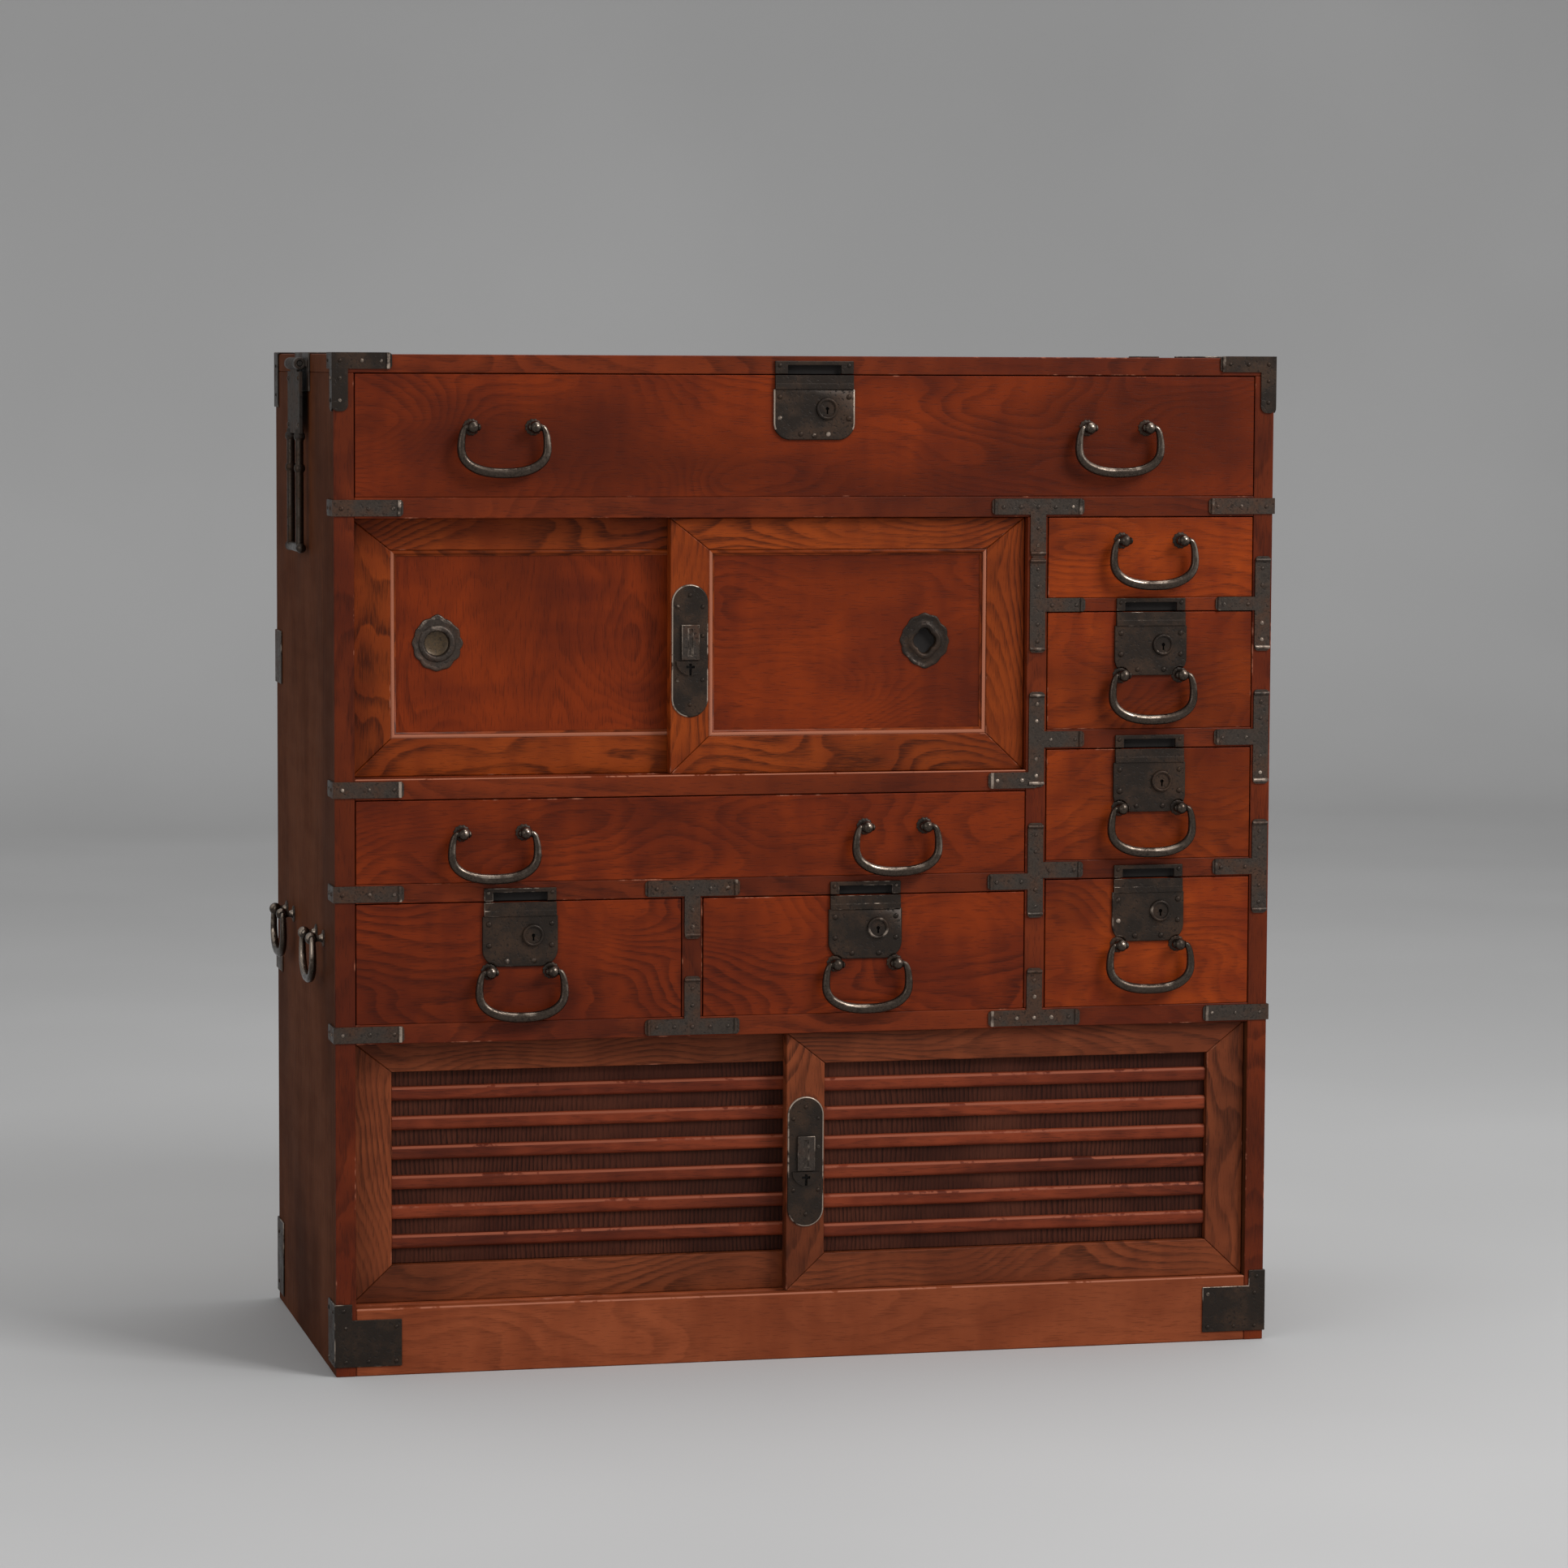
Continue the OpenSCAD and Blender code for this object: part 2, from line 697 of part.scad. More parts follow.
// ---- Drawer locks ----

// A plate with a straight top edge at the origin and round lower corners
module shield_outline(w, h, r) {
    translate([-w / 2, r - h]) square([w, h - r]);
    translate([r - w / 2, -h]) square([w - 2 * r, h]);
    for (x = [r - w / 2, w / 2 - r]) translate([x, r - h]) circle(r);
}

module keyhole_outline() {
    circle(keyhole_r);
    translate([-keyhole_slot[0] / 2, -keyhole_slot[1]]) square(keyhole_slot);
}

// Two-stepped moulded band at the head of a lock plate
module moulded_band(w) {
    step_h = band_h * band_share;
    translate([-w / 2, -lock_t - band_rise, -band_h]) cube([w, lock_t + band_rise, band_h]);
    translate([-w / 2, -lock_t - 2 * band_rise, -band_h])
        cube([w, lock_t + 2 * band_rise, step_h]);
}

// Moulded band, lock plate and keyhole boss; x is the middle, top the drawer's edge,
// and the plate is notched round the rosettes of bail posts at height posts_z
module lock_plate(x, top, w = lock_w, posts_z = -1) {
    boss_z = -band_h - boss_drop;
    translate([x, 0, top]) {
        moulded_band(w - 2 * band_lip);
        difference() {
            union() {
                front_plate(lock_t) translate([0, -band_h])
                    shield_outline(w, lock_h, lock_corner_r);
                front_plate(lock_t + boss_t) translate([boss_x, boss_z]) circle(boss_r);
            }
            front_plate(lock_t + boss_t + 2, 1) translate([boss_x, boss_z]) keyhole_outline();
            front_plate(boss_t, -lock_t - boss_t / 2) translate([boss_x, boss_z])
                circle(boss_r - boss_rim);
            if (posts_z > 0) for (px = [-bail_post_gap / 2, bail_post_gap / 2])
                front_plate(lock_t * 3, lock_t) translate([px, posts_z - top])
                    circle(rosette_r + side_gap);
        }
    }
}

// Strike plate on a rail whose lower edge is at z, open below its window
module strike_plate(x, z, w = lock_w) {
    window_h = bolt_lift + bolt_clearance;
    strike_w = w - 2 * band_lip;
    front_plate(lock_t) translate([x, z]) difference() {
        translate([-strike_w / 2, plate_gap]) square([strike_w, strike_h]);
        translate([-mortise_w / 2, 0]) square([mortise_w, window_h]);
    }
}

module strike_plates() {
    color(iron) in_frame() {
        strike_plate(case_w / 2, top_z, top_lock_w);
        strike_plate(small_left_mid, rail_3_z);
        strike_plate(small_right_mid, rail_3_z);
        for (z = [column_rail_1_z, column_rail_2_z, column_rail_3_z])
            strike_plate(column_x_mid, z);
    }
}

// The bolt, lowered: a broad flat tongue in the drawer front's pocket
module bolt(x, top) {
    color(iron) in_frame()
        translate([x - bolt_w / 2, bolt_clearance, top - bolt_h - bolt_clearance])
            cube([bolt_w, bolt_t, bolt_h]);
}

module bolt_top() { bolt(case_w / 2, top_z - drawer_gap); }
module bolt_small_left() { bolt(small_left_mid, rail_3_z - drawer_gap); }
module bolt_small_right() { bolt(small_right_mid, rail_3_z - drawer_gap); }
module bolt_column_2() { bolt(column_x_mid, column_rail_1_z - drawer_gap); }
module bolt_column_3() { bolt(column_x_mid, column_rail_2_z - drawer_gap); }
module bolt_column_4() { bolt(column_x_mid, column_rail_3_z - drawer_gap); }

// ---- Bails and their posts ----

// One post on the front: a rosette, a stem and a ball with a cross bore
module bail_post() {
    difference() {
        union() {
            rotate([90, 0, 0]) cylinder(r = rosette_r, h = rosette_t);
            rotate([90, 0, 0]) cylinder(r1 = stem_base_r, r2 = stem_neck_r, h = bail_out - 2);
            translate([0, -bail_out, 0]) rotate([0, 90, 0]) sphere(ball_r);
        }
        translate([-ball_r - 1, -bail_out, 0]) rotate([0, 90, 0])
            cylinder(r = bail_pin_r + pin_clearance, h = 2 * ball_r + 2);
    }
}

module bail_posts(gap) { for (x = [-gap / 2, gap / 2]) translate([x, 0, 0]) bail_post(); }

// Centre line of half a bail, from the bottom (t = 0) to the pin (t = 1)
function bail_point(t, half_w, drop, pin_x) =
    let (knee_z = -drop * bail_knee)
    t < 0.5
        ? let (a = 180 * t, q = bail_squareness)
            [half_w * pow(sin(a), q), knee_z - (drop + knee_z) * pow(cos(a), q)]
        : let (a = 180 * (t - 0.5)) [pin_x + (half_w - pin_x) * cos(a), knee_z * (1 - sin(a))];

// Direction of the centre line in degrees from +x
function bail_heading(t, half_w, drop, pin_x) =
    let (d = 0.01,
         p = bail_point(max(t - d, 0), half_w, drop, pin_x),
         q = bail_point(min(t + d, 1), half_w, drop, pin_x))
    t == 0 ? 0 : t == 1 ? 180 : atan2(q[1] - p[1], q[0] - p[0]);

// One ring of the bar; s runs from -1 at the left pin to 1 at the right pin
function bail_ring(s, half_w, drop, pin_x) =
    let (t = abs(s),
         dir = s < 0 ? -1 : 1,
         p = bail_point(t, half_w, drop, pin_x),
         h = bail_heading(t, half_w, drop, pin_x),
         r = bail_mid_r - (bail_mid_r - bail_tip_r) * pow(t, bail_taper))
    [for (i = [0 : bail_sides - 1])
        let (a = 360 * i / bail_sides)
        [dir * (p[0] - r * sin(a) * sin(h)), -r * cos(a), p[1] + r * sin(a) * cos(h)]];

// A bail hanging from the x axis: a tapered bar whose tips turn in to two pivot pins
module bail(w, drop, gap) {
    half_w = w / 2 - bail_side_r;
    bar_drop = drop - bail_mid_r;
    tip_x = gap / 2 + ball_r + pin_clearance;
    n = 2 * bail_rings;
    steps = [for (i = [-n : n]) i / n];
    rings = [for (s = steps) bail_ring(s, half_w, bar_drop, tip_x)];
    last = len(rings) - 1;
    points = [for (r = rings) for (p = r) p];
    walls = [for (i = [0 : last - 1]) for (j = [0 : bail_sides - 1])
        let (k = (j + 1) % bail_sides)
        [i * bail_sides + j, i * bail_sides + k, (i + 1) * bail_sides + k,
         (i + 1) * bail_sides + j]];
    ends = [[for (j = [bail_sides - 1 : -1 : 0]) j],
            [for (j = [0 : bail_sides - 1]) last * bail_sides + j]];
    polyhedron(points, concat(walls, ends));
    pin_in = gap / 2 - ball_r + pin_clearance;
    for (dir = [-1, 1]) translate([dir * pin_in, 0, 0]) rotate([0, 90 * dir, 0])
        cylinder(r = bail_pin_r, h = tip_x - pin_in + 0.5);
}

// A front bail at x, with its pivot at height z
module front_bail(x, z) {
    color(iron) in_frame() translate([x, -bail_out, z])
        bail(bail_w, bail_drop, bail_post_gap);
}

top_bail_z = top_drawer_z + top_drawer_h / 2 + top_bail_rise;
long_bail_z = long_z + bail_drop + long_bail_lift;
small_bail_z = small_z + bail_drop + small_bail_lift;
column_1_bail_z = column_1_z + bail_drop + column_1_bail_lift;
column_2_bail_z = column_2_z + bail_drop + column_2_bail_lift;
column_3_bail_z = column_3_z + bail_drop + column_3_bail_lift;
column_4_bail_z = column_4_z + bail_drop + column_4_bail_lift;
column_x_mid = column_x + column_w / 2;
small_left_mid = side_t + small_left_w / 2;
small_right_mid = small_right_x + small_right_w / 2;

module bail_top_left() { front_bail(side_t + top_bail_inset, top_bail_z); }
module bail_top_right() { front_bail(case_w - side_t - top_bail_inset, top_bail_z); }
module bail_long_left() { front_bail(side_t + long_bail_inset, long_bail_z); }
module bail_long_right() { front_bail(post_x - long_bail_inset, long_bail_z); }
module bail_small_left() { front_bail(small_left_mid, small_bail_z); }
module bail_small_right() { front_bail(small_right_mid, small_bail_z); }
module bail_column_1() { front_bail(column_x_mid, column_1_bail_z); }
module bail_column_2() { front_bail(column_x_mid, column_2_bail_z); }
module bail_column_3() { front_bail(column_x_mid, column_3_bail_z); }
module bail_column_4() { front_bail(column_x_mid, column_4_bail_z); }

// ---- Iron on the drawers: posts and lock plates ----

module drawer_top_iron() {
    color(iron) in_frame() {
        for (x = [side_t + top_bail_inset, case_w - side_t - top_bail_inset])
            translate([x, 0, top_bail_z]) bail_posts(bail_post_gap);
        lock_plate(case_w / 2, top_z - drawer_gap, top_lock_w);
    }
}

module drawer_long_iron() {
    color(iron) in_frame()
        for (x = [side_t + long_bail_inset, post_x - long_bail_inset])
            translate([x, 0, long_bail_z]) bail_posts(bail_post_gap);
}

// Posts and lock plate in the middle of a drawer with its top edge at top
module middle_iron(x, z, top) {
    color(iron) in_frame() {
        translate([x, 0, z]) bail_posts(bail_post_gap);
        lock_plate(x, top - drawer_gap, lock_w, z);
    }
}

module drawer_small_left_iron() { middle_iron(small_left_mid, small_bail_z, rail_3_z); }
module drawer_small_right_iron() { middle_iron(small_right_mid, small_bail_z, rail_3_z); }
module drawer_column_1_iron() {
    color(iron) in_frame() translate([column_x_mid, 0, column_1_bail_z])
        bail_posts(bail_post_gap);
}
module drawer_column_2_iron() {
    middle_iron(column_x_mid, column_2_bail_z, column_rail_1_z);
}
module drawer_column_3_iron() {
    middle_iron(column_x_mid, column_3_bail_z, column_rail_2_z);
}
module drawer_column_4_iron() {
    middle_iron(column_x_mid, column_4_bail_z, column_rail_3_z);
}

// ---- Sliding doors ----

// Four mitred members with tongues above and below; h is the height of the opening
module door_frame(w, h) {
    j = joint;
    top = h - door_clearance;
    t = h - door_top_rail_h;
    b = door_bottom_rail_h;
    s = stile_w;
    tongue_y = (door_t + tongue_t) / 2;
    module top_rail() {
        front_plate(door_t, door_t)
            polygon([[j, top], [w - j, top], [w - s - j, t], [s + j, t]]);
        front_plate(tongue_t, tongue_y)
            translate([j, top]) square([w - 2 * j, top_groove - 2 * door_clearance]);
    }
    module bottom_rail() {
        front_plate(door_t, door_t) polygon([[j, 0], [w - j, 0], [w - s - j, b], [s + j, b]]);
        front_plate(tongue_t, tongue_y)
            translate([j, -bottom_groove]) square([w - 2 * j, bottom_groove]);
    }
    module stile() {
        front_plate(door_t, door_t) polygon([[0, j], [0, top - j], [s, t - j], [s, b + j]]);
    }
    top_rail();
    bottom_rail();
    difference() {
        stile();
        children();
    }
    translate([w, 0, 0]) mirror([1, 0, 0]) stile();
}

// Panel with a round hole for its finger pull, and a bead along its four edges
module beaded_panel(w, h, pull_x) {
    x = stile_w + joint;
    z = door_bottom_rail_h + joint;
    pw = w - 2 * x;
    ph = h - door_top_rail_h - joint - z;
    bead_y = panel_setback - bead_r - joint;
    front_plate(panel_t, panel_setback + panel_t) difference() {
        translate([x, z]) square([pw, ph]);
        translate([pull_x, pull_z(h)]) circle(cup_r + pull_wall + side_gap);
    }
    for (bz = [z + bead_r, z + ph - bead_r]) translate([x, bead_y, bz])
        rotate([0, 90, 0]) cylinder(r = bead_r, h = pw);
    for (bx = [x + bead_r, x + pw - bead_r]) translate([bx, bead_y, z + 2 * bead_r + joint])
        cylinder(r = bead_r, h = ph - 4 * bead_r - 2 * joint);
}

// Height of the finger pulls in a door for an opening of height h
function pull_z(h) = h / 2 + pull_rise;

// Horizontal slats in front of a thin backing board
module slatted_field(w, h) {
    x = stile_w + joint;
    fw = w - 2 * x;
    field_h = h - door_top_rail_h - door_bottom_rail_h;
    gap = (field_h - slat_count * slat_h) / (slat_count + 1);
    for (i = [0 : slat_count - 1])
        translate([x, slat_setback, door_bottom_rail_h + gap * (i + 1) + slat_h * i])
            cube([fw, slat_t, slat_h]);
    translate([x, slat_setback + slat_t + joint, door_bottom_rail_h + joint])
        cube([fw, backing_t, field_h - 2 * joint]);
}

// Pocket in a stile behind the slot of its lock plate
module latch_pocket(h) {
    translate([stile_w / 2, -1, latch_z(h)])
        latch_slot(latch_tongue_w + 2 * side_gap, latch_tongue_t + 2);
}

// Upright slot of the latch, from its lowest to its highest place, cut depth t
module latch_slot(w, t) {
    translate([-w / 2, 0, -latch_tongue_h / 2 - side_gap])
        cube([w, t, latch_tongue_h + latch_lift + 2 * side_gap]);
}

upper_left_x = side_t + door_clearance;
upper_right_x = post_x - door_clearance - upper_door_w;
lower_left_x = side_t + door_clearance;
lower_right_x = case_w - side_t - door_clearance - lower_door_w;

// Places a door or its iron in the upper or lower opening
module at_door(x, y, z) { in_frame() translate([x, y, z]) children(); }

module upper_door_left() {
    color(lacquer) at_door(upper_left_x, rear_door_y, upper_z) {
        door_frame(upper_door_w, upper_door_h);
        beaded_panel(upper_door_w, upper_door_h, left_pull_x);
    }
}

module upper_door_right() {
    color(lacquer) at_door(upper_right_x, front_door_y, upper_z) {
        door_frame(upper_door_w, upper_door_h) latch_pocket(upper_lock_z);
        beaded_panel(upper_door_w, upper_door_h, right_pull_x);
    }
}

module lower_door_left() {
    color(lacquer) at_door(lower_left_x, rear_door_y, base_h) {
        door_frame(lower_door_w, lower_door_h);
        slatted_field(lower_door_w, lower_door_h);
    }
}

module lower_door_right() {
    color(lacquer) at_door(lower_right_x, front_door_y, base_h) {
        door_frame(lower_door_w, lower_door_h) latch_pocket(lower_lock_z);
        slatted_field(lower_door_w, lower_door_h);
    }
}

// ---- Door fittings ----

// Rim with small lobes all round, wide at its middle
module lobed_outline(lobes) {
    circle(pull_r - pull_lobe_r + pull_lobe_bite);
    for (i = [0 : lobes - 1]) rotate(360 * i / lobes)
        translate([pull_r - pull_lobe_r, 0]) circle(pull_lobe_r);
}

module four_leaf_outline() {
    square(leaf_r * 1.4, center = true);
    for (a = [0 : 90 : 270]) rotate(a) translate([cup_r - leaf_r, 0]) circle(leaf_r);
}

// Finger pull: a lobed rim on the panel and a cup behind it, open as its outline says
module finger_pull(lobes) {
    back = panel_setback + pull_depth;
    difference() {
        union() {
            front_plate(iron_t, panel_setback) lobed_outline(lobes);
            front_plate(iron_t + pull_collar_t, panel_setback) circle(cup_r + pull_collar);
            front_plate(pull_depth, back) circle(cup_r + pull_wall);
        }
        front_plate(back + 1, back - pull_wall) children();
    }
}

module upper_door_left_pull() {
    color(iron) at_door(upper_left_x, rear_door_y, upper_z)
        translate([left_pull_x, 0, pull_z(upper_door_h)]) 
            finger_pull(left_pull_lobes) circle(cup_r);
}

// Plate with round ends, a slot for the latch and a half-round boss with a keyhole
module door_lock_plate(z) {
    r = door_lock_w / 2;
    boss_z = latch_z(z) - latch_h / 2 - 1;
    bar = door_keyhole_bar;
    translate([stile_w / 2, 0, 0]) difference() {
        union() {
            front_plate(iron_t) translate([0, z]) {
                square([door_lock_w, door_lock_h - 2 * r], center = true);
                for (dz = [-1, 1]) translate([0, dz * (door_lock_h / 2 - r)]) circle(r);
            }
            front_plate(iron_t + half_boss_t) translate([0, boss_z]) intersection() {
                circle(half_boss_r);
                translate([-half_boss_r, -half_boss_r])
                    square([2 * half_boss_r, half_boss_r]);
            }
        }
        front_plate(8, 1) translate([-door_keyhole[0] / 2, boss_z - half_boss_r])
            square(door_keyhole);
        front_plate(8, 1) translate([-bar[0] / 2, boss_z - half_boss_r / 2]) square(bar);
        translate([0, -8, latch_z(z)]) latch_slot(latch_tongue_w + 2 * side_gap, 9);
    }
}

// Height of the latch button's middle on a lock plate whose middle is at z
function latch_z(z) = z + latch_rise;

// Sliding button with a finger groove; its tongue runs in the plate's slot
module latch(z) {
    translate([stile_w / 2, 0, latch_z(z)]) {
        difference() {
            front_plate(latch_t, -iron_t) square([latch_w, latch_h], center = true);
            front_plate(latch_t, latch_groove[2] - iron_t - latch_t)
                square([latch_groove[0], latch_groove[1]], center = true);
        }
        translate([-latch_tongue_w / 2, -iron_t - 1, -latch_tongue_h / 2])
            cube([latch_tongue_w, latch_tongue_t + iron_t + 0.5, latch_tongue_h]);
    }
}

module upper_door_right_iron() {
    color(iron) at_door(upper_right_x, front_door_y, upper_z) {
        translate([right_pull_x, 0, pull_z(upper_door_h)])
            finger_pull(right_pull_lobes) four_leaf_outline();
        door_lock_plate(upper_lock_z);
    }
}

module lower_door_right_lock() {
    color(iron) at_door(lower_right_x, front_door_y, base_h) door_lock_plate(lower_lock_z);
}

module latch_upper_door() {
    color(iron) at_door(upper_right_x, front_door_y, upper_z) latch(upper_lock_z);
}

module latch_lower_door() {
    color(iron) at_door(lower_right_x, front_door_y, base_h) latch(lower_lock_z);
}

// ---- Side bails and carrying bars ----

// Places children made for a front face onto the left or the right side at depth y
module on_left_side(y, z) { translate([0, y, z]) rotate([0, 0, -90]) children(); }
module on_right_side(y, z) { translate([case_w, y, z]) rotate([0, 0, 90]) children(); }

side_front_y = (case_d - side_bail_spacing) / 2;
side_back_y = (case_d + side_bail_spacing) / 2;

module side_bail() {
    translate([0, -bail_out, 0]) bail(side_bail_w, side_bail_drop, side_bail_post_gap);
}

module bail_side_left_front() {
    color(iron) in_frame() on_left_side(side_front_y, side_bail_z) side_bail();
}
module bail_side_left_back() {
    color(iron) in_frame() on_left_side(side_back_y, side_bail_z) side_bail();
}
module bail_side_right_front() {
    color(iron) in_frame() on_right_side(side_front_y, side_bail_z) side_bail();
}
module bail_side_right_back() {
    color(iron) in_frame() on_right_side(side_back_y, side_bail_z) side_bail();
}

// Hinge leaf on the side's upper edge with two knuckles; z = 0 is the pivot
module carry_mount() {
    leaf_w = carry_w + 2 * carry_leaf_lap;
    difference() {
        union() {
            front_plate(iron_t) translate([-leaf_w / 2, -carry_leaf_drop])
                square([leaf_w, carry_leaf_drop + carry_drop + iron_t]);
            translate([-leaf_w / 2, -iron_t, carry_drop]) cube([leaf_w, corner_lap, iron_t]);
            for (x = [-1, 1]) translate([x * (carry_barrel_l + carry_knuckle_l) / 2, 0, 0]) {
                translate([side_gap * x, -carry_out, 0]) rotate([0, 90, 0])
                    cylinder(r = carry_barrel_r, h = carry_knuckle_l, center = true);
                translate([side_gap * x - carry_knuckle_l / 2, -carry_out, -carry_barrel_r / 2])
                    cube([carry_knuckle_l, carry_out, carry_barrel_r]);
            }
        }
        translate([0, -carry_out, 0]) rotate([0, 90, 0])
            cylinder(r = carry_pin_r + pin_clearance, h = leaf_w, center = true);
    }
}

module side_handle_mounts() {
    color(iron) in_frame() {
        for (y = [side_front_y, side_back_y]) {
            on_left_side(y, side_bail_z) bail_posts(side_bail_post_gap);
            on_right_side(y, side_bail_z) bail_posts(side_bail_post_gap);
        }
        on_left_side(case_d / 2, case_h - carry_drop) carry_mount();
        on_right_side(case_d / 2, case_h - carry_drop) carry_mount();
    }
}

// Carrying bar, folded down: barrel with pins, plate, two collared legs and a cross bar
module carrying_bar() {
    neck_h = carry_barrel_r + carry_neck_gap;
    bar_r = carry_leg_r + carry_bar_swell;
    collar_r = carry_leg_r + carry_collar_swell;
    bar_l = carry_leg_gap + 4 * carry_leg_r;
    translate([0, -carry_out, 0]) {
        rotate([0, 90, 0]) cylinder(r = carry_barrel_r, h = carry_barrel_l, center = true);
        rotate([0, 90, 0]) cylinder(r = carry_pin_r, center = true,
                                    h = carry_barrel_l + 2 * carry_knuckle_l);
        front_plate(carry_plate_t, carry_plate_t / 2) {
            translate([-carry_barrel_l / 2, -neck_h - 1]) square([carry_barrel_l, neck_h + 1]);
            translate([-carry_w / 2, -carry_plate_h]) square([carry_w, carry_plate_h - neck_h]);
        }
        for (x = [-1, 1]) translate([x * carry_leg_gap / 2, 0, 0]) {
            translate([0, 0, -carry_l + bar_r]) cylinder(r = carry_leg_r, h = carry_l - carry_plate_h);
            for (z = [0, carry_collar_gap])
                translate([0, 0, -carry_plate_h - collar_r / 2 - z]) sphere(collar_r);
            translate([x * 2 * carry_leg_r, 0, -carry_l + bar_r]) sphere(bar_r + carry_knob_swell);
        }
        translate([0, 0, -carry_l + bar_r]) rotate([0, 90, 0])
            cylinder(r = bar_r, h = bar_l, center = true);
    }
}

module carrying_bar_left() {
    color(iron) in_frame() on_left_side(case_d / 2, case_h - carry_drop) carrying_bar();
}
module carrying_bar_right() {
    color(iron) in_frame() on_right_side(case_d / 2, case_h - carry_drop) carrying_bar();
}

// ---- Nodes ----

left_side_board();
right_side_board();
top_board();
floor_board();
back_boards();
base_rail();
shelves();
column_shelves();
partitions();
corner_brackets();
edge_brackets();
strike_plates();
side_handle_mounts();
drawer_top();
drawer_long();
drawer_small_left();
drawer_small_right();
drawer_column_1();
drawer_column_2();
drawer_column_3();
drawer_column_4();
drawer_top_iron();
drawer_long_iron();
drawer_small_left_iron();
drawer_small_right_iron();
drawer_column_1_iron();
drawer_column_2_iron();
drawer_column_3_iron();
drawer_column_4_iron();
upper_door_left();
upper_door_right();
lower_door_left();
lower_door_right();
upper_door_left_pull();
upper_door_right_iron();
lower_door_right_lock();
bail_top_left();
bail_top_right();
bail_long_left();
bail_long_right();
bail_small_left();
bail_small_right();
bail_column_1();
bail_column_2();
bail_column_3();
bail_column_4();
bail_side_left_front();
bail_side_left_back();
bail_side_right_front();
bail_side_right_back();
carrying_bar_left();
carrying_bar_right();
bolt_top();
bolt_small_left();
bolt_small_right();
bolt_column_2();
bolt_column_3();
bolt_column_4();
latch_upper_door();
latch_lower_door();
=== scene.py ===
"""A merchant's chest: lacquered boards, sliding doors and forged iron, built over its frame."""
import json
import math
import random

import bmesh
import bpy
from mathutils import Matrix, Vector, noise

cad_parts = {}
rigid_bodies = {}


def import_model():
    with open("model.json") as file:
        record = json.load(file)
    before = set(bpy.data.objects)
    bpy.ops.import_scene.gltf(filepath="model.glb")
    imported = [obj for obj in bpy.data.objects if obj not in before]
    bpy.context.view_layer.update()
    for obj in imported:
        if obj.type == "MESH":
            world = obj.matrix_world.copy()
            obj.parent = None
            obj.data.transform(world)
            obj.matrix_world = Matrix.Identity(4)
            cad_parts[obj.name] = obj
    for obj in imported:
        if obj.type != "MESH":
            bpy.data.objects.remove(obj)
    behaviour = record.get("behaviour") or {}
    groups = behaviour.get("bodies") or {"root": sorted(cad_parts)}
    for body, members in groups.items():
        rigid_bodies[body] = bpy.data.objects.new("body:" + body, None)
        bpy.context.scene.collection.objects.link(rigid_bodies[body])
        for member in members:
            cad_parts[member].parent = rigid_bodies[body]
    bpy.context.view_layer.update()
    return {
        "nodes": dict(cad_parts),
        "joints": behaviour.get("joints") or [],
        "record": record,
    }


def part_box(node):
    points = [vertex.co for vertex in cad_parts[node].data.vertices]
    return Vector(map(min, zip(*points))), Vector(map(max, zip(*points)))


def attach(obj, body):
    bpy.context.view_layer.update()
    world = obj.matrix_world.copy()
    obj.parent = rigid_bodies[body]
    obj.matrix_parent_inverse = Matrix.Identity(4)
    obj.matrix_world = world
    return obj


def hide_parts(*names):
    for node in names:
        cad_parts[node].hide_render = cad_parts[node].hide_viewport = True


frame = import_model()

bl_info = {
    "name": "Merchant's chest",
    "version": (1, 0, 0),
    "blender": (4, 5, 0),
    "location": "3D View > Sidebar > Chest",
    "description": "Lacquered boards, sliding doors and forged iron for a merchant's chest",
    "category": "Object",
}

MM = 0.001
SAME = 0.01 * MM  # places closer than this count as one
BODIES = frame["record"]["behaviour"]["bodies"]
BODY_OF = {node: body for body, nodes in BODIES.items() for node in nodes}
HINGES = {joint["child"]: joint for joint in frame["joints"] if joint["type"] == "hinge"}

# The case's faces, in metres
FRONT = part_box("top_board")[0].y
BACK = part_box("back_boards")[1].y
LEFT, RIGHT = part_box("left_side_board")[0].x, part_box("right_side_board")[1].x
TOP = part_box("top_board")[1].z
IRON = 1.6 * MM  # thickness of the straps and plates
DRAWERS = ["drawer_top", "drawer_long", "drawer_small_left", "drawer_small_right",
           "drawer_column_1", "drawer_column_2", "drawer_column_3", "drawer_column_4"]
LOCKED = [d for d in DRAWERS if d not in ("drawer_long", "drawer_column_1")]


def between(first, second, axis="z"):
    """The middle of the wood between two drawers, above or beside one another."""
    return (getattr(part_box(first)[1], axis) + getattr(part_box(second)[0], axis)) / 2


# Heights of the middles of the rails, and places of the middles of the posts
RAIL_1 = between("drawer_column_1", "drawer_top")
RAIL_2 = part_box("drawer_long")[1].z + 10.5 * MM  # the gap, and half the rail
RAIL_3 = between("drawer_small_left", "drawer_long")
RAIL_4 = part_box("drawer_small_left")[0].z - 9.25 * MM  # the gap, and half the rail
COLUMN_RAILS = [between(f"drawer_column_{n + 1}", f"drawer_column_{n}") for n in (1, 2, 3)]
POST_X = between("drawer_long", "drawer_column_1", "x")
DIVIDER_X = between("drawer_small_left", "drawer_small_right", "x")
STILE_X = (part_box("drawer_column_1")[1].x + RIGHT) / 2
UPPER_SILL = RAIL_2 + 9.75 * MM  # top of the rail that the upper doors slide on

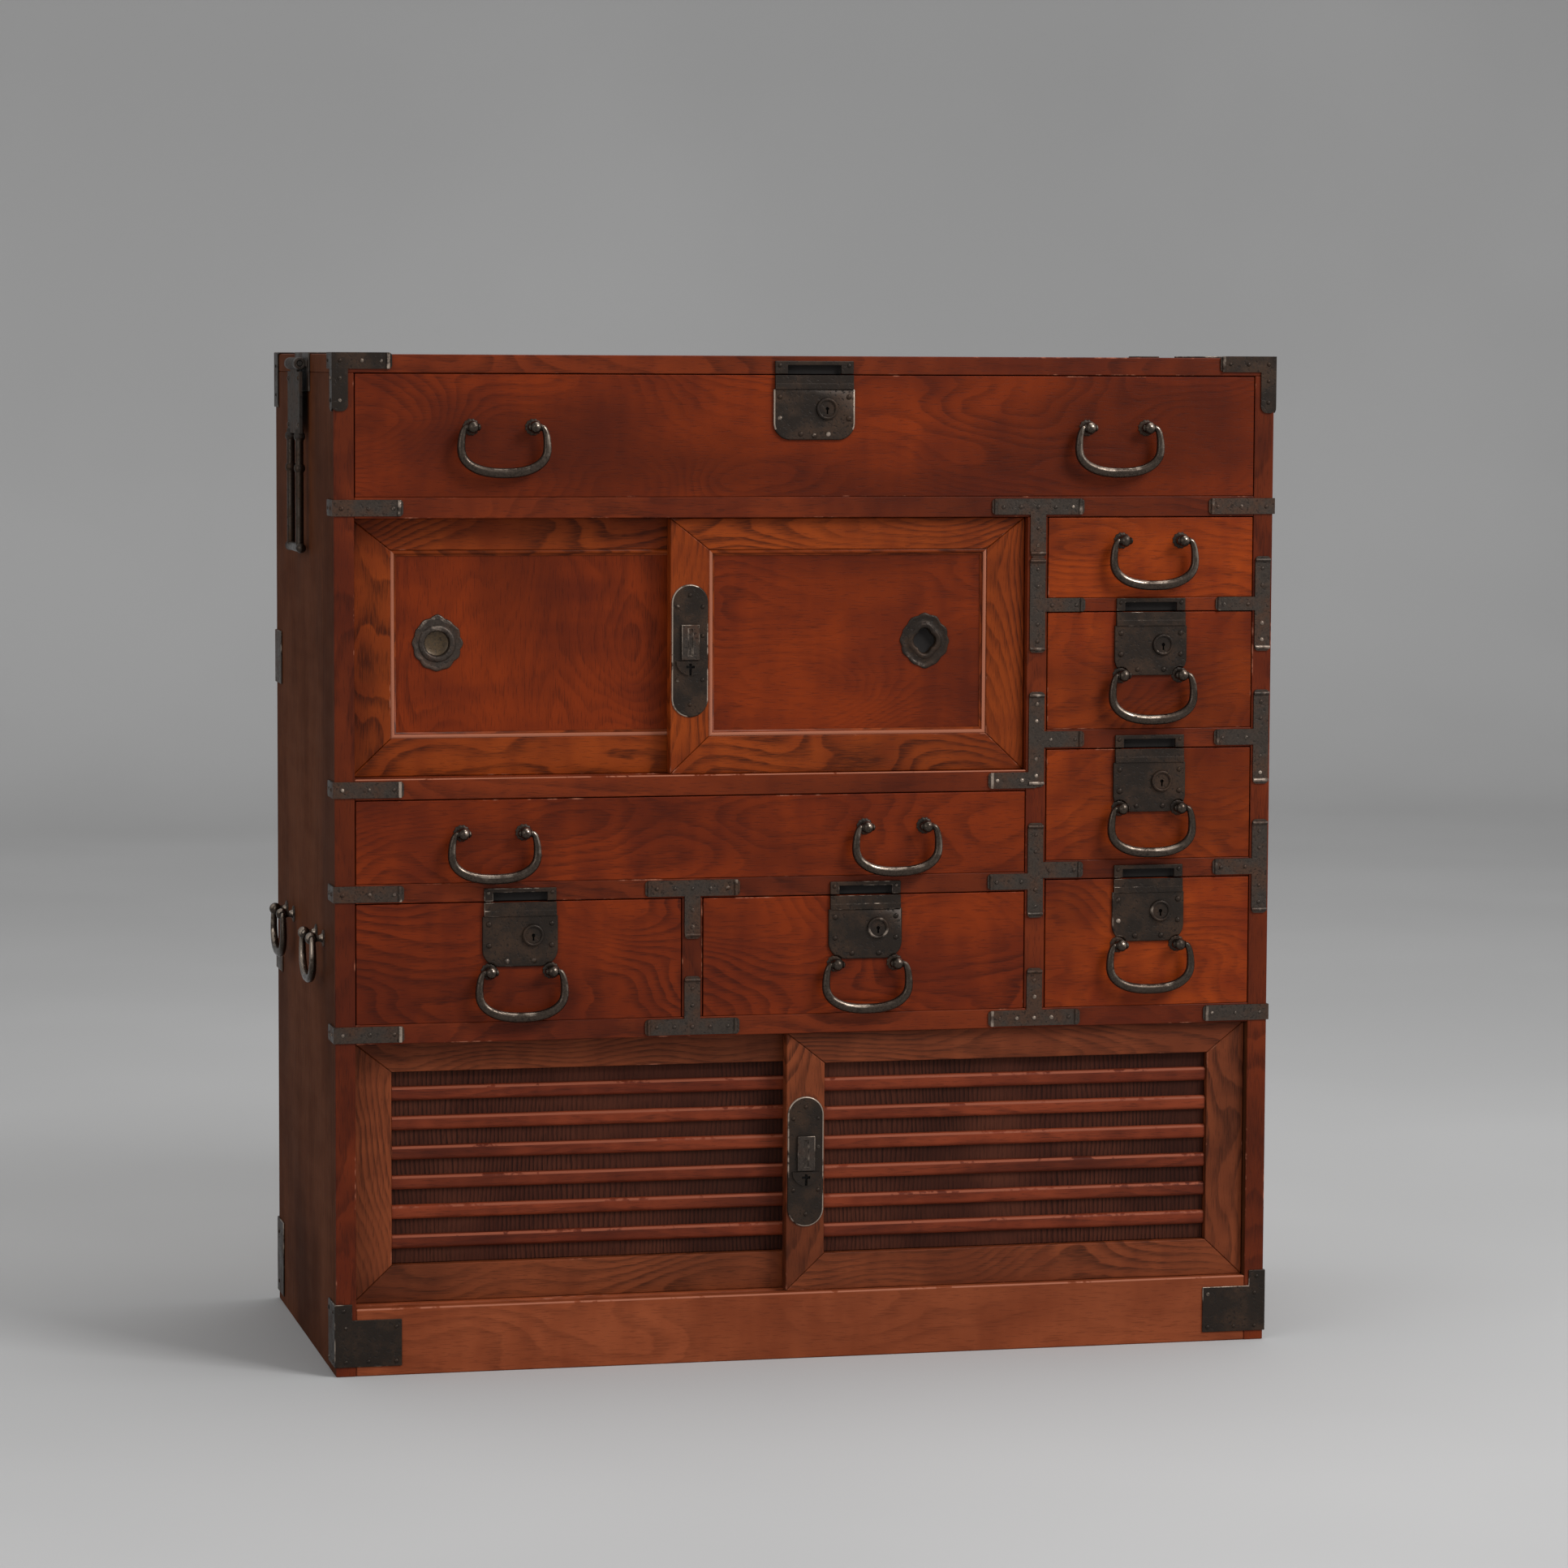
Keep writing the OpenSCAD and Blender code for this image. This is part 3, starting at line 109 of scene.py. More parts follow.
# The bails, in millimetres: width, drop below the pivots, gap between the posts, and the
# bar's half thickness at the bottom, at its widest and at its tips
FRONT_GAP, SIDE_GAP = 58, 50
FRONT_BAIL = (88, 47, FRONT_GAP, 4.95)
SIDE_BAIL = (80, 44, SIDE_GAP, 4.2)
BAIL_SIDE, BAIL_TIP = 3.94, 2.4
TIP_OUT, PIN_IN = 6.2, 5.4  # from a post's middle out to the bar's tip, and in to the pin
PIN_LONG = 12
PIVOT_OUT = 12 * MM  # from the wood's face to a bail's pivot

# Drawers: the fronts' thickness, and the locks' plates, keyhole bosses and bolt pockets,
# measured from the middle of a front's top edge
DRAWER_FRONT = 18 * MM
LOCK_PLATE = 3 * MM
BROAD_LOCK, COMMON_LOCK = 78, 71  # the plates' widths in millimetres: top drawer, others
BOSS_ASIDE, BOSS_BELOW = 12 * MM, 31 * MM
POCKET_HALF, POCKET_TALL = 26 * MM, 9.6 * MM

# Door fittings: each lock plate's node and middle height, and the finger pulls' places
DOOR_LOCKS = {"upper": ("upper_door_right_iron", 0.670),
              "lower": ("lower_door_right_lock", 0.18625)}
DOOR_LOCK_IN = 18.5 * MM
PULL_HEIGHT, PULL_DEEP = 0.6775, 5 * MM
LEFT_PULL_IN, RIGHT_PULL_IN = 81 * MM, 96 * MM

# The camera, found from the edges of the case: place, yaw, fall and roll in degrees, lens
CAMERA_AT = (-1.089, -4.7432, 0.940)
CAMERA_TURN = (13.142, 4.833, -0.256)
CAMERA_LENS = 115.06


def srgb(red, green, blue):
    """A colour written as 0 to 255, for a colour socket."""
    linear = []
    for level in (red, green, blue):
        share = level / 255
        linear.append(share / 12.92 if share <= 0.04045 else ((share + 0.055) / 1.055) ** 2.4)
    return tuple(linear)


# ---- Settings ----

def length(name, description, default, **more):
    return bpy.props.FloatProperty(name=name, description=description, default=default,
                                   min=0, unit="LENGTH", subtype="DISTANCE",
                                   precision=5, **more)


def colour(name, description, default):
    return bpy.props.FloatVectorProperty(name=name, description=description, size=3,
                                         subtype="COLOR", min=0, max=1, default=default)


def share(name, description, default):
    return bpy.props.FloatProperty(name=name, description=description, default=default,
                                   min=0, max=1, subtype="FACTOR")


# Each kind of wood: its key, its title, what is made of it, and its dark, middle and light tone
WOOD_TONES = (
    ("drawer", "Drawers", "drawers and panels", (50, 15, 6), (96, 32, 9), (126, 46, 11)),
    ("column", "Column drawers", "the column's drawers", (62, 20, 6), (112, 38, 9),
     (150, 60, 14)),
    ("door", "Upper doors", "the upper doors' frames", (58, 21, 7), (114, 44, 12),
     (144, 62, 18)),
    ("case", "Rails", "rails and posts", (48, 17, 8), (88, 31, 12), (116, 46, 18)),
    ("lower", "Lower doors", "the slatted doors' frames", (54, 25, 13), (101, 47, 25),
     (130, 65, 36)),
    ("slat", "Slats", "the slats", (48, 20, 13), (96, 38, 21), (128, 56, 32)),
    ("plinth", "Plinth", "the plinth", (88, 39, 20), (122, 57, 30), (144, 73, 42)),
    ("backing", "Slat backing", "the boards behind the slats", (30, 14, 10), (62, 30, 21),
     (80, 42, 29)),
    ("side", "Sides", "the side boards", (42, 21, 13), (82, 43, 23), (97, 53, 29)),
    ("bare", "Bare wood", "the unfinished wood", (98, 68, 42), (148, 111, 74),
     (170, 134, 95)),
)
SHADES = {"dark": "Dark grain", "middle": "Main colour", "light": "Light areas"}


def with_tones(group):
    """Adds the dark, middle and light colour of each kind of wood to the settings."""
    for key, title, pieces, *tones in WOOD_TONES:
        for (shade, part), tone in zip(SHADES.items(), tones):
            group.__annotations__[f"{key}_{shade}"] = colour(
                f"{title}, {shade}", f"{part} of {pieces}", srgb(*tone))
    return group


@with_tones
class ChestWood(bpy.types.PropertyGroup):
    arris: length("Arris", "Rounding of the edges of rails, doors and drawer fronts", 1.1 * MM)
    slat_round: length("Slat rounding", "Rounding of the slats' front edges", 4.2 * MM)
    figure: bpy.props.FloatProperty(name="Figure", default=26, min=0, max=60,
                                    description="How far the growth rings wander in the panels")
    wear: share("Wear", "Share of the edges that is rubbed pale", 0.32)
    # Also the colour of the painted highlight along the upper doors' beads.
    worn: colour("Worn edges", "Colour of the rubbed edges", srgb(160, 98, 74))
    # The slats' upper edges get this as a painted highlight, with some rubbing.
    slat_highlight: colour("Slats, rubbed", "Colour along the slats' upper edges",
                      srgb(140, 76, 54))


class ChestIron(bpy.types.PropertyGroup):
    arris: length("Arris", "Rounding of the plates' edges", 0.7 * MM)
    nail: length("Nail head", "Radius of a strap's nail head", 1.9 * MM)
    stud: length("Stud", "Radius of a lock plate's stud", 2.6 * MM)
    dark: colour("Iron, dark", "Pits and hollows of the iron", srgb(30, 26, 23))
    middle: colour("Iron, middle", "Main colour of the iron", srgb(66, 57, 50))
    rust: colour("Rust", "Brown patina on the iron", srgb(78, 54, 40))
    lock: colour("Lock plates", "Main colour of the lock plates", srgb(41, 32, 25))
    lock_rust: colour("Lock patina", "Brown patina on the lock plates", srgb(64, 46, 33))
    handled: colour("Bails", "Main colour of the bails and carrying bars", srgb(74, 64, 56))
    # Colour of the painted highlights on the bails and their posts, as well as their hand-rubbed
    # wear.
    polish_and_highlight: colour("Polish and highlight", "Where hands keep the bails bright", srgb(150, 136, 123))
    # Also the colour of the painted highlights on the strap ends and the broad lock plate's
    # sides.
    bright: colour("Bright iron", "Colour of the rubbed edges and studs", srgb(158, 142, 128))
    cup: colour("Cup", "Worn floor of the left finger pull", srgb(86, 67, 42))


class ChestStage(bpy.types.PropertyGroup):
    floor: colour("Floor", "Colour of the floor and backdrop", srgb(186, 186, 186))
    key: bpy.props.FloatProperty(name="Key light", description="Power of the main light",
                                 default=142, min=0, subtype="POWER", unit="POWER")
    fill: bpy.props.FloatProperty(name="Fill light", description="Power of the soft left light",
                                  default=30, min=0, subtype="POWER", unit="POWER")
    sky: bpy.props.FloatProperty(name="Surrounding light", default=0.55, min=0,
                                 description="Strength of the light from all round")


# ---- Shader nodes ----

def put(tree, kind, sockets=None, **settings):
    """Adds a shader node, with its settings and its sockets' values or links."""
    node = tree.nodes.new("ShaderNode" + kind)
    for key, value in settings.items():
        setattr(node, key, value)
    return feed_all(tree, node, sockets or {})


def feed_all(tree, node, sockets):
    """Gives the node's sockets their values or links, and returns the node."""
    for key, value in sockets.items():
        feed(tree, node.inputs[key], value)
    return node


def feed(tree, socket, value):
    """Links another socket to a socket, or sets its value."""
    if isinstance(value, bpy.types.NodeSocket):
        tree.links.new(value, socket)
    elif socket.type == "RGBA" and len(value) == 3:
        socket.default_value = (*value, 1)
    else:
        socket.default_value = value


def calc(tree, operation, *terms, clamp=False):
    """The result of a sum on values or sockets."""
    node = put(tree, "Math", dict(enumerate(terms)), operation=operation, use_clamp=clamp)
    return node.outputs[0]


def ramp(tree, value, low, high, to_low=0.0, to_high=1.0, smooth=True):
    """value taken from low..high to to_low..to_high, held at both ends."""
    node = put(tree, "MapRange", {0: value, 1: low, 2: high, 3: to_low, 4: to_high},
               interpolation_type="SMOOTHSTEP" if smooth else "LINEAR")
    return node.outputs[0]


def tint(tree, factor, first, second):
    """A colour between two, by a factor."""
    node = put(tree, "Mix", {0: factor, 6: first, 7: second}, data_type="RGBA")
    return node.outputs[2]


def speckle(tree, vector, scale, detail=2.0, rough=0.5, stretch=None):
    """Noise of a scale in features per metre, stretched along the vector's axes."""
    if stretch:
        vector = put(tree, "VectorMath", {0: vector, 1: stretch}, operation="MULTIPLY").outputs[0]
    node = put(tree, "TexNoise", {"Vector": vector, "Scale": scale, "Detail": detail,
                                  "Roughness": rough})
    return node.outputs[0]


def line_up(tree):
    """Sets the nodes out from left to right by what feeds what."""
    depth = {}

    def place(node):
        if node not in depth:
            depth[node] = 0
            links = [link for link in tree.links if link.from_node == node]
            depth[node] = 1 + max((place(link.to_node) for link in links), default=-1)
        return depth[node]

    rows = {}
    for node in tree.nodes:
        column = place(node)
        rows[column] = rows.get(column, 0) + 1
        node.location = (-220 * column, -210 * rows[column])


def shader_group(name, inputs, outputs, build):
    """A node group with named sockets, built once and used by every material that asks."""
    group = bpy.data.node_groups.get(name)
    if group:
        return group
    group = bpy.data.node_groups.new(name, "ShaderNodeTree")
    for title, kind, default in inputs:
        socket = group.interface.new_socket(name=title, in_out="INPUT", socket_type=kind)
        if default is not None:
            socket.default_value = default
    for title, kind in outputs:
        group.interface.new_socket(name=title, in_out="OUTPUT", socket_type=kind)
    start, end = group.nodes.new("NodeGroupInput"), group.nodes.new("NodeGroupOutput")
    for title, value in build(group, start.outputs).items():
        feed(group, end.inputs[title], value)
    line_up(group)
    return group


FLOAT, COLOR, VECTOR = "NodeSocketFloat", "NodeSocketColor", "NodeSocketVector"


def board_grain():
    """Growth rings that wander into ovals and tongues, rows of pores and slow mottling."""
    def build(tree, given):
        spot = given["Vector"]
        slow = speckle(tree, spot, 1.0, 1.0, 0.4, (4.6, 9.5, 9.5))
        quick = speckle(tree, spot, 1.0, 3.0, 0.5, (14, 40, 40))
        across = put(tree, "SeparateXYZ", {0: spot}).outputs[1]
        rings = calc(tree, "MULTIPLY", across, given["Rings"])
        rings = calc(tree, "MULTIPLY_ADD", slow, given["Figure"], rings)
        rings = calc(tree, "MULTIPLY_ADD", quick, 1.5, rings)
        step = calc(tree, "FRACT", rings)
        late = calc(tree, "MULTIPLY", ramp(tree, step, 0.25, 0.85), ramp(tree, step, 1.0, 0.88))
        dashes = speckle(tree, spot, 1.0, 2.0, 0.6, (70, 850, 850))
        pores = ramp(tree, dashes, 0.56, 0.66)
        line = calc(tree, "MULTIPLY", late, ramp(tree, dashes, 0.32, 0.6, 0.45, 1.0))
        faint = speckle(tree, spot, 1.0, 3.0, 0.5, (6, 9, 9))
        line = calc(tree, "MULTIPLY", line, ramp(tree, faint, 0.32, 0.62, 0.2, 1.0))
        mottle = speckle(tree, spot, 1.0, 3.0, 0.6, (4.5, 10, 10))
        ripple = speckle(tree, spot, 1.0, 2.0, 0.5, (42, 12, 12))
        glow = calc(tree, "MULTIPLY_ADD", ripple, 0.35, calc(tree, "MULTIPLY", mottle, 0.8))
        hue = tint(tree, ramp(tree, glow, 0.4, 0.74), given["Middle"], given["Light"])
        smoke = speckle(tree, spot, 1.0, 3.0, 0.5, (2.8, 6, 6))
        murk = ramp(tree, smoke, 0.44, 0.68, 0.0, given["Clouds"])
        hue = tint(tree, murk, hue, given["Dark"])
        hue = tint(tree, calc(tree, "MULTIPLY", line, given["Lines"]), hue, given["Dark"])
        hue = tint(tree, calc(tree, "MULTIPLY", pores, given["Pores"]), hue, given["Dark"])
        height = calc(tree, "MULTIPLY_ADD", line, -0.5, calc(tree, "MULTIPLY", pores, -0.6))
        return {"Color": hue, "Height": height, "Gloss": ramp(tree, glow, 0.3, 0.8)}

    grey = (0.2, 0.2, 0.2, 1)
    return shader_group("Board grain", [
        ("Vector", VECTOR, None), ("Rings", FLOAT, 70.0), ("Figure", FLOAT, 16.0),
        ("Lines", FLOAT, 0.7), ("Pores", FLOAT, 0.35), ("Clouds", FLOAT, 0.5),
        ("Dark", COLOR, grey), ("Middle", COLOR, grey), ("Light", COLOR, grey),
    ], [("Color", COLOR), ("Height", FLOAT), ("Gloss", FLOAT)], build)


def wear_and_highlight_edge():
    """Rubbed edges and painted highlights: a broken pale line wherever the edge mask is set."""
    def build(tree, given):
        spot = given["Vector"]
        patches = speckle(tree, spot, 14.0, 3.0, 0.6)
        nicks = speckle(tree, spot, 130.0, 2.0, 0.6)
        rub = calc(tree, "MULTIPLY_ADD", nicks, 0.45, patches)
        rub = calc(tree, "MULTIPLY_ADD", given["Edge"], 0.16, rub)
        floor = calc(tree, "MULTIPLY_ADD", given["Amount"], -0.62, 1.2)
        mask = ramp(tree, rub, floor, calc(tree, "ADD", floor, 0.16))
        mask = calc(tree, "MULTIPLY", mask, given["Edge"], clamp=True)
        return {"Color": tint(tree, mask, given["Color"], given["Worn"]), "Mask": mask}

    grey = (0.5, 0.5, 0.5, 1)
    return shader_group("Worn edge", [
        ("Color", COLOR, grey), ("Worn", COLOR, grey), ("Vector", VECTOR, None),
        ("Edge", FLOAT, 0.0), ("Amount", FLOAT, 0.5),
    ], [("Color", COLOR), ("Mask", FLOAT)], build)


def forged_skin():
    """Hammered and pitted iron with brown patina in slow patches."""
    def build(tree, given):
        spot = given["Vector"]
        dents = put(tree, "TexVoronoi", {"Vector": spot, "Scale": 120.0, "Smoothness": 0.8},
                    feature="SMOOTH_F1").outputs[0]
        patches = speckle(tree, spot, 38.0, 4.0, 0.6)
        grit = speckle(tree, spot, 620.0, 2.0, 0.6)
        pits = ramp(tree, speckle(tree, spot, 310.0, 2.0, 0.5), 0.56, 0.7)
        hue = tint(tree, ramp(tree, patches, 0.4, 0.68), given["Middle"], given["Rust"])
        hue = tint(tree, ramp(tree, grit, 0.35, 0.7, 0.0, 0.45), hue, given["Dark"])
        hue = tint(tree, calc(tree, "MULTIPLY", pits, 0.4), hue, given["Dark"])
        height = calc(tree, "MULTIPLY_ADD", pits, -0.7, calc(tree, "MULTIPLY", dents, 0.9))
        height = calc(tree, "MULTIPLY_ADD", grit, 0.35, height)
        rough = calc(tree, "MULTIPLY_ADD", pits, 0.25, ramp(tree, patches, 0.35, 0.7, 0.4, 0.58))
        return {"Color": hue, "Height": height, "Roughness": rough}

    grey = (0.2, 0.2, 0.2, 1)
    return shader_group("Forged skin", [
        ("Vector", VECTOR, None), ("Dark", COLOR, grey), ("Middle", COLOR, grey),
        ("Rust", COLOR, grey),
    ], [("Color", COLOR), ("Height", FLOAT), ("Roughness", FLOAT)], build)


def start_material(name):
    """A new material, with its node tree and its Principled shader."""
    material = bpy.data.materials.new(name)
    material.use_nodes = True
    tree = material.node_tree
    return material, tree, tree.nodes["Principled BSDF"]


def group_node(tree, group, sockets):
    """Adds a node group to a material, with its sockets' values or links."""
    node = tree.nodes.new("ShaderNodeGroup")
    node.node_tree = group
    return feed_all(tree, node, sockets)


def wood(name, tones, rings, lines, figure=1.0, pores=0.35, clouds=0.5, wear=1.0,
         rough=(0.36, 0.5), coat=0.02, shine=0.1, worn="worn"):
    """Wood whose grain follows each board, worn at its edges and pale where the edge layer asks
    for a painted highlight, with or without lacquer.
    Figure and wear are shares of the settings; tones and worn name colours in them."""
    if name in bpy.data.materials:
        return bpy.data.materials[name]
    settings = bpy.context.scene.chest_wood
    dark, middle, light = (getattr(settings, f"{tones}_{shade}") for shade in SHADES)
    material, tree, shader = start_material(name)
    spot = put(tree, "Attribute", attribute_name="wood").outputs["Vector"]
    edge = put(tree, "Attribute", attribute_name="edge").outputs["Fac"]
    grain = group_node(tree, board_grain(), {
        "Vector": spot, "Rings": rings, "Figure": figure * settings.figure, "Lines": lines,
        "Pores": pores, "Clouds": clouds, "Dark": dark, "Middle": middle, "Light": light})
    rubbed = group_node(tree, wear_and_highlight_edge(), {
        "Color": grain.outputs["Color"], "Vector": spot, "Edge": edge,
        "Amount": wear * settings.wear, "Worn": getattr(settings, worn)})
    dull = ramp(tree, grain.outputs["Gloss"], 0.0, 1.0, rough[1], rough[0], smooth=False)
    dull = calc(tree, "MULTIPLY_ADD", rubbed.outputs["Mask"], 0.12, dull, clamp=True)
    bump = put(tree, "Bump", {"Height": grain.outputs["Height"], "Strength": 0.35,
                              "Distance": 0.25 * MM})
    feed_all(tree, shader, {
        "Base Color": rubbed.outputs["Color"], "Roughness": dull, "Normal": bump.outputs[0],
        "Specular IOR Level": shine, "Coat Weight": coat, "Coat Roughness": 0.2})
    line_up(tree)
    return material


def drawer_wood():
    return wood("Drawer wood", "drawer", rings=34, lines=0.45, clouds=0.6)


def swirled_wood():
    """The small drawers' fronts, cut where the growth rings make bold swirls."""
    return wood("Swirled drawer wood", "drawer", rings=22, figure=0.9, lines=0.75, clouds=0.4)


def column_wood():
    return wood("Column drawer wood", "column", rings=60, figure=0.8, lines=0.5, clouds=0.6)


def door_wood():
    return wood("Door frame wood", "door", rings=120, figure=0.9, lines=0.85, clouds=0.25)


def case_wood():
    """The rails, the posts, the top and the front edges of the sides."""
    return wood("Rail wood", "case", rings=80, figure=0.5, lines=0.55)


def lower_wood():
    return wood("Lower door wood", "lower", rings=110, figure=0.8, lines=0.75,
                rough=(0.42, 0.56))


def slat_wood():
    return wood("Slat wood", "slat", rings=90, figure=0.3, lines=0.4, wear=1.3,
                rough=(0.42, 0.56), worn="slat_highlight")


def plinth_wood():
    return wood("Plinth wood", "plinth", rings=60, figure=0.5, lines=0.4, clouds=0.3,
                rough=(0.45, 0.58))


def side_wood():
    return wood("Side wood", "side", rings=110, figure=0.25, lines=0.5, wear=0.8,
                rough=(0.62, 0.75), coat=0.0, shine=0.03)


def slat_backing():
    """Darkened wood behind the slats, with upright grain."""
    return wood("Slat backing", "backing", rings=230, figure=0.231, lines=0.85, clouds=0.6,
                wear=0, rough=(0.6, 0.7), coat=0.0, shine=0.08)


def bare_wood():
    return wood("Bare wood", "bare", rings=95, figure=0.423, lines=0.55, pores=0.3,
                clouds=0.12, wear=0.94, rough=(0.62, 0.75), coat=0.0, shine=0.3,
                worn="bare_light")


def hollow_dark():
    """The unlit inside of keyholes and bolt pockets."""
    if "Hollow" in bpy.data.materials:
        return bpy.data.materials["Hollow"]
    material, tree, shader = start_material("Hollow")
    feed_all(tree, shader, {"Base Color": srgb(24, 20, 18), "Roughness": 0.9})
    return material


def iron(name="Forged iron", middle="middle", rust="rust", worn="bright", bright=0.5,
         metal=0.65, dents=0.4 * MM, smooth=0.0):
    """Dark forged iron: pitted skin, patina, bright rubbed edges and painted highlights. Middle,
    rust and worn name colours in the settings."""
    if name in bpy.data.materials:
        return bpy.data.materials[name]
    tone = bpy.context.scene.chest_iron
    material, tree, shader = start_material(name)
    spot = put(tree, "TexCoord").outputs["Object"]
    edge = put(tree, "Attribute", attribute_name="edge").outputs["Fac"]
    skin = group_node(tree, forged_skin(), {
        "Vector": spot, "Dark": tone.dark, "Middle": getattr(tone, middle),
        "Rust": getattr(tone, rust)})
    rubbed = group_node(tree, wear_and_highlight_edge(), {
        "Color": skin.outputs["Color"], "Vector": spot, "Edge": edge, "Amount": bright,
        "Worn": getattr(tone, worn)})
    dull = calc(tree, "SUBTRACT", skin.outputs["Roughness"], smooth)
    dull = calc(tree, "MULTIPLY_ADD", rubbed.outputs["Mask"], -0.12, dull, clamp=True)
    bump = put(tree, "Bump", {"Height": skin.outputs["Height"], "Strength": 0.6,
                              "Distance": dents})
    feed_all(tree, shader, {"Base Color": rubbed.outputs["Color"], "Roughness": dull,
                            "Metallic": metal, "Normal": bump.outputs[0]})
    line_up(tree)
    return material


def handled_iron():
    return iron("Handled iron", middle="handled", rust="handled", worn="polish_and_highlight", bright=0.6,
                metal=0.92, dents=0.06 * MM, smooth=0.16)


def lock_iron():
    return iron("Lock iron", middle="lock", rust="lock_rust", bright=0.42)


def bar_iron():
    return iron("Carrying bar iron", rust="lock_rust", bright=0.6, metal=0.85,
                dents=0.1 * MM, smooth=0.1)


def bar_plate_iron():
    """The dull plate that a carrying bar is forged to."""
    return iron("Bar plate iron", middle="lock", rust="lock_rust", bright=0.42,
                metal=0.15, smooth=-0.25)


def cup_metal():
    return iron("Worn cup", middle="cup", rust="cup", bright=0.4, metal=0.35)


# ---- Mesh helpers ----

def wear_and_highlight_marks(bm):
    """The layer that says how pale each face is painted, both for rubbing and for painted
    highlights on the bails, posts, beads, slats, strap ends and lock plates: 0 not at all, 1 like
    an edge, more where hands and sliding doors keep it bright."""
    return bm.faces.layers.float.get("edge") or bm.faces.layers.float.new("edge")


def is_sharp(edge, turn=0.5):
    """Whether two faces meet at an edge and turn there by more than so many radians."""
    return len(edge.link_faces) == 2 and edge.calc_face_angle(0) > turn


def clean_mesh(node):
    """The node's solids with whole flat faces, so that their edges can be rounded."""
    bm = bmesh.new()
    bm.from_mesh(frame["nodes"][node].data)
    bmesh.ops.remove_doubles(bm, verts=bm.verts, dist=2e-6)
    bmesh.ops.dissolve_limit(bm, angle_limit=math.radians(0.4), verts=bm.verts,
                             edges=bm.edges, delimit=set())
    wear_and_highlight_marks(bm)
    return bm


def solids(bm):
    """The separate solids of a mesh, as lists of vertices."""
    seen, found = set(), []
    for first in bm.verts:
        if first in seen:
            continue
        seen.add(first)
        stack, group = [first], []
        while stack:
            vert = stack.pop()
            group.append(vert)
            for edge in vert.link_edges:
                other = edge.other_vert(vert)
                if other not in seen:
                    seen.add(other)
                    stack.append(other)
        found.append(group)
    return found


def extent(verts):
    """The lowest and the highest corner of the box round some vertices."""
    low = Vector([min(v.co[i] for v in verts) for i in range(3)])
    high = Vector([max(v.co[i] for v in verts) for i in range(3)])
    return low, high


def edges_of(group):
    """The edges of a solid, each once and always in the same order."""
    return dict.fromkeys(edge for vert in group for edge in vert.link_edges)


def round_edges(bm, width, edges=None, steps=2, turn=30):
    """Rounds the edges, or each solid's edges that turn by more than an angle in degrees,
    and marks the new faces as worn."""
    mark = wear_and_highlight_marks(bm)
    if edges is not None:
        jobs = [edges]
    else:
        jobs = [[e for e in edges_of(group) if is_sharp(e, math.radians(turn))]
                for group in solids(bm)]
    for job in jobs:
        made = bmesh.ops.bevel(bm, geom=job, offset=width, offset_type="OFFSET",
                               segments=steps, profile=0.55, affect="EDGES",
                               clamp_overlap=True)
        for face in made["faces"]:
            face[mark] = 1.0


def rim_edges(bm, y, keep=lambda spot: True):
    """The sharp edges that lie in the plane y and bound the face in it."""
    return [e for e in bm.edges
            if all(abs(v.co.y - y) < SAME for v in e.verts) and is_sharp(e)
            and keep((e.verts[0].co + e.verts[1].co) / 2)]


def lay_grain(bm, seed, along=None):
    """Gives each board its own stretch of timber, with the grain along its longest side
    or along the axis that along(low, high) names."""
    layer = bm.verts.layers.float_vector.new("wood")
    draw = random.Random(seed)
    for group in solids(bm):
        low, high = extent(group)
        size = high - low
        order = sorted(range(3), key=lambda i: -size[i])
        chosen = along(low, high) if along else None
        if chosen is not None:
            order.remove(chosen)
            order.insert(0, chosen)
        shift = Vector([draw.uniform(-5, 5) for _ in range(3)])
        for vert in group:
            vert[layer] = Vector([vert.co[i] for i in order]) + shift


UPWARDS = 2  # the axis of grain that runs upwards


def upright(_low, _high):
    """The grain of a board that stands upright."""
    return UPWARDS


def new_object(name, data):
    """Adds an object to the scene."""
    obj = bpy.data.objects.new(name, data)
    bpy.context.scene.collection.objects.link(obj)
    return obj


def add_piece(name, bm, node, materials):
    """Makes the mesh an object that rides on its node's body and stands for the node."""
    mesh = bpy.data.meshes.new(name)
    bm.to_mesh(mesh)
    bm.free()
    for material in materials:
        mesh.materials.append(material)
    mesh.polygons.foreach_set("use_smooth", [True] * len(mesh.polygons))
    mesh.set_sharp_from_angle(angle=math.radians(50))
    obj = new_object(name, mesh)
    crisp = obj.modifiers.new("Crisp faces", "WEIGHTED_NORMAL")
    crisp.keep_sharp = True
    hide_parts(node)
    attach(obj, BODY_OF[node])
    return obj


def add_wood(name, node, materials, arris=None, along=None):
    """Dresses one wooden node as boards with rounded edges."""
    bm = clean_mesh(node)
    round_edges(bm, arris or bpy.context.scene.chest_wood.arris)
    lay_grain(bm, name, along)
    # the faces inside a bolt pocket get the dark hollow material, painted shade
    if len(materials) > 1:
        for face in bm.faces:
            spot = face.calc_center_median()
            if FRONT + 0.5 * MM < spot.y < FRONT + 5 * MM and in_window(spot):
                face.material_index = 1
    return add_piece(name, bm, node, materials)


def top_middle(drawer):
    """The middle of a drawer across, and the height of its top."""
    low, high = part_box(drawer)
    return (low.x + high.x) / 2, high.z


def in_window(spot):
    """Whether a spot on a rail is inside the pocket that takes a bolt."""
    for drawer in LOCKED:
        x, top = top_middle(drawer)
        if abs(spot.x - x) < POCKET_HALF and 0 < spot.z - top < POCKET_TALL:
            return True
    return False


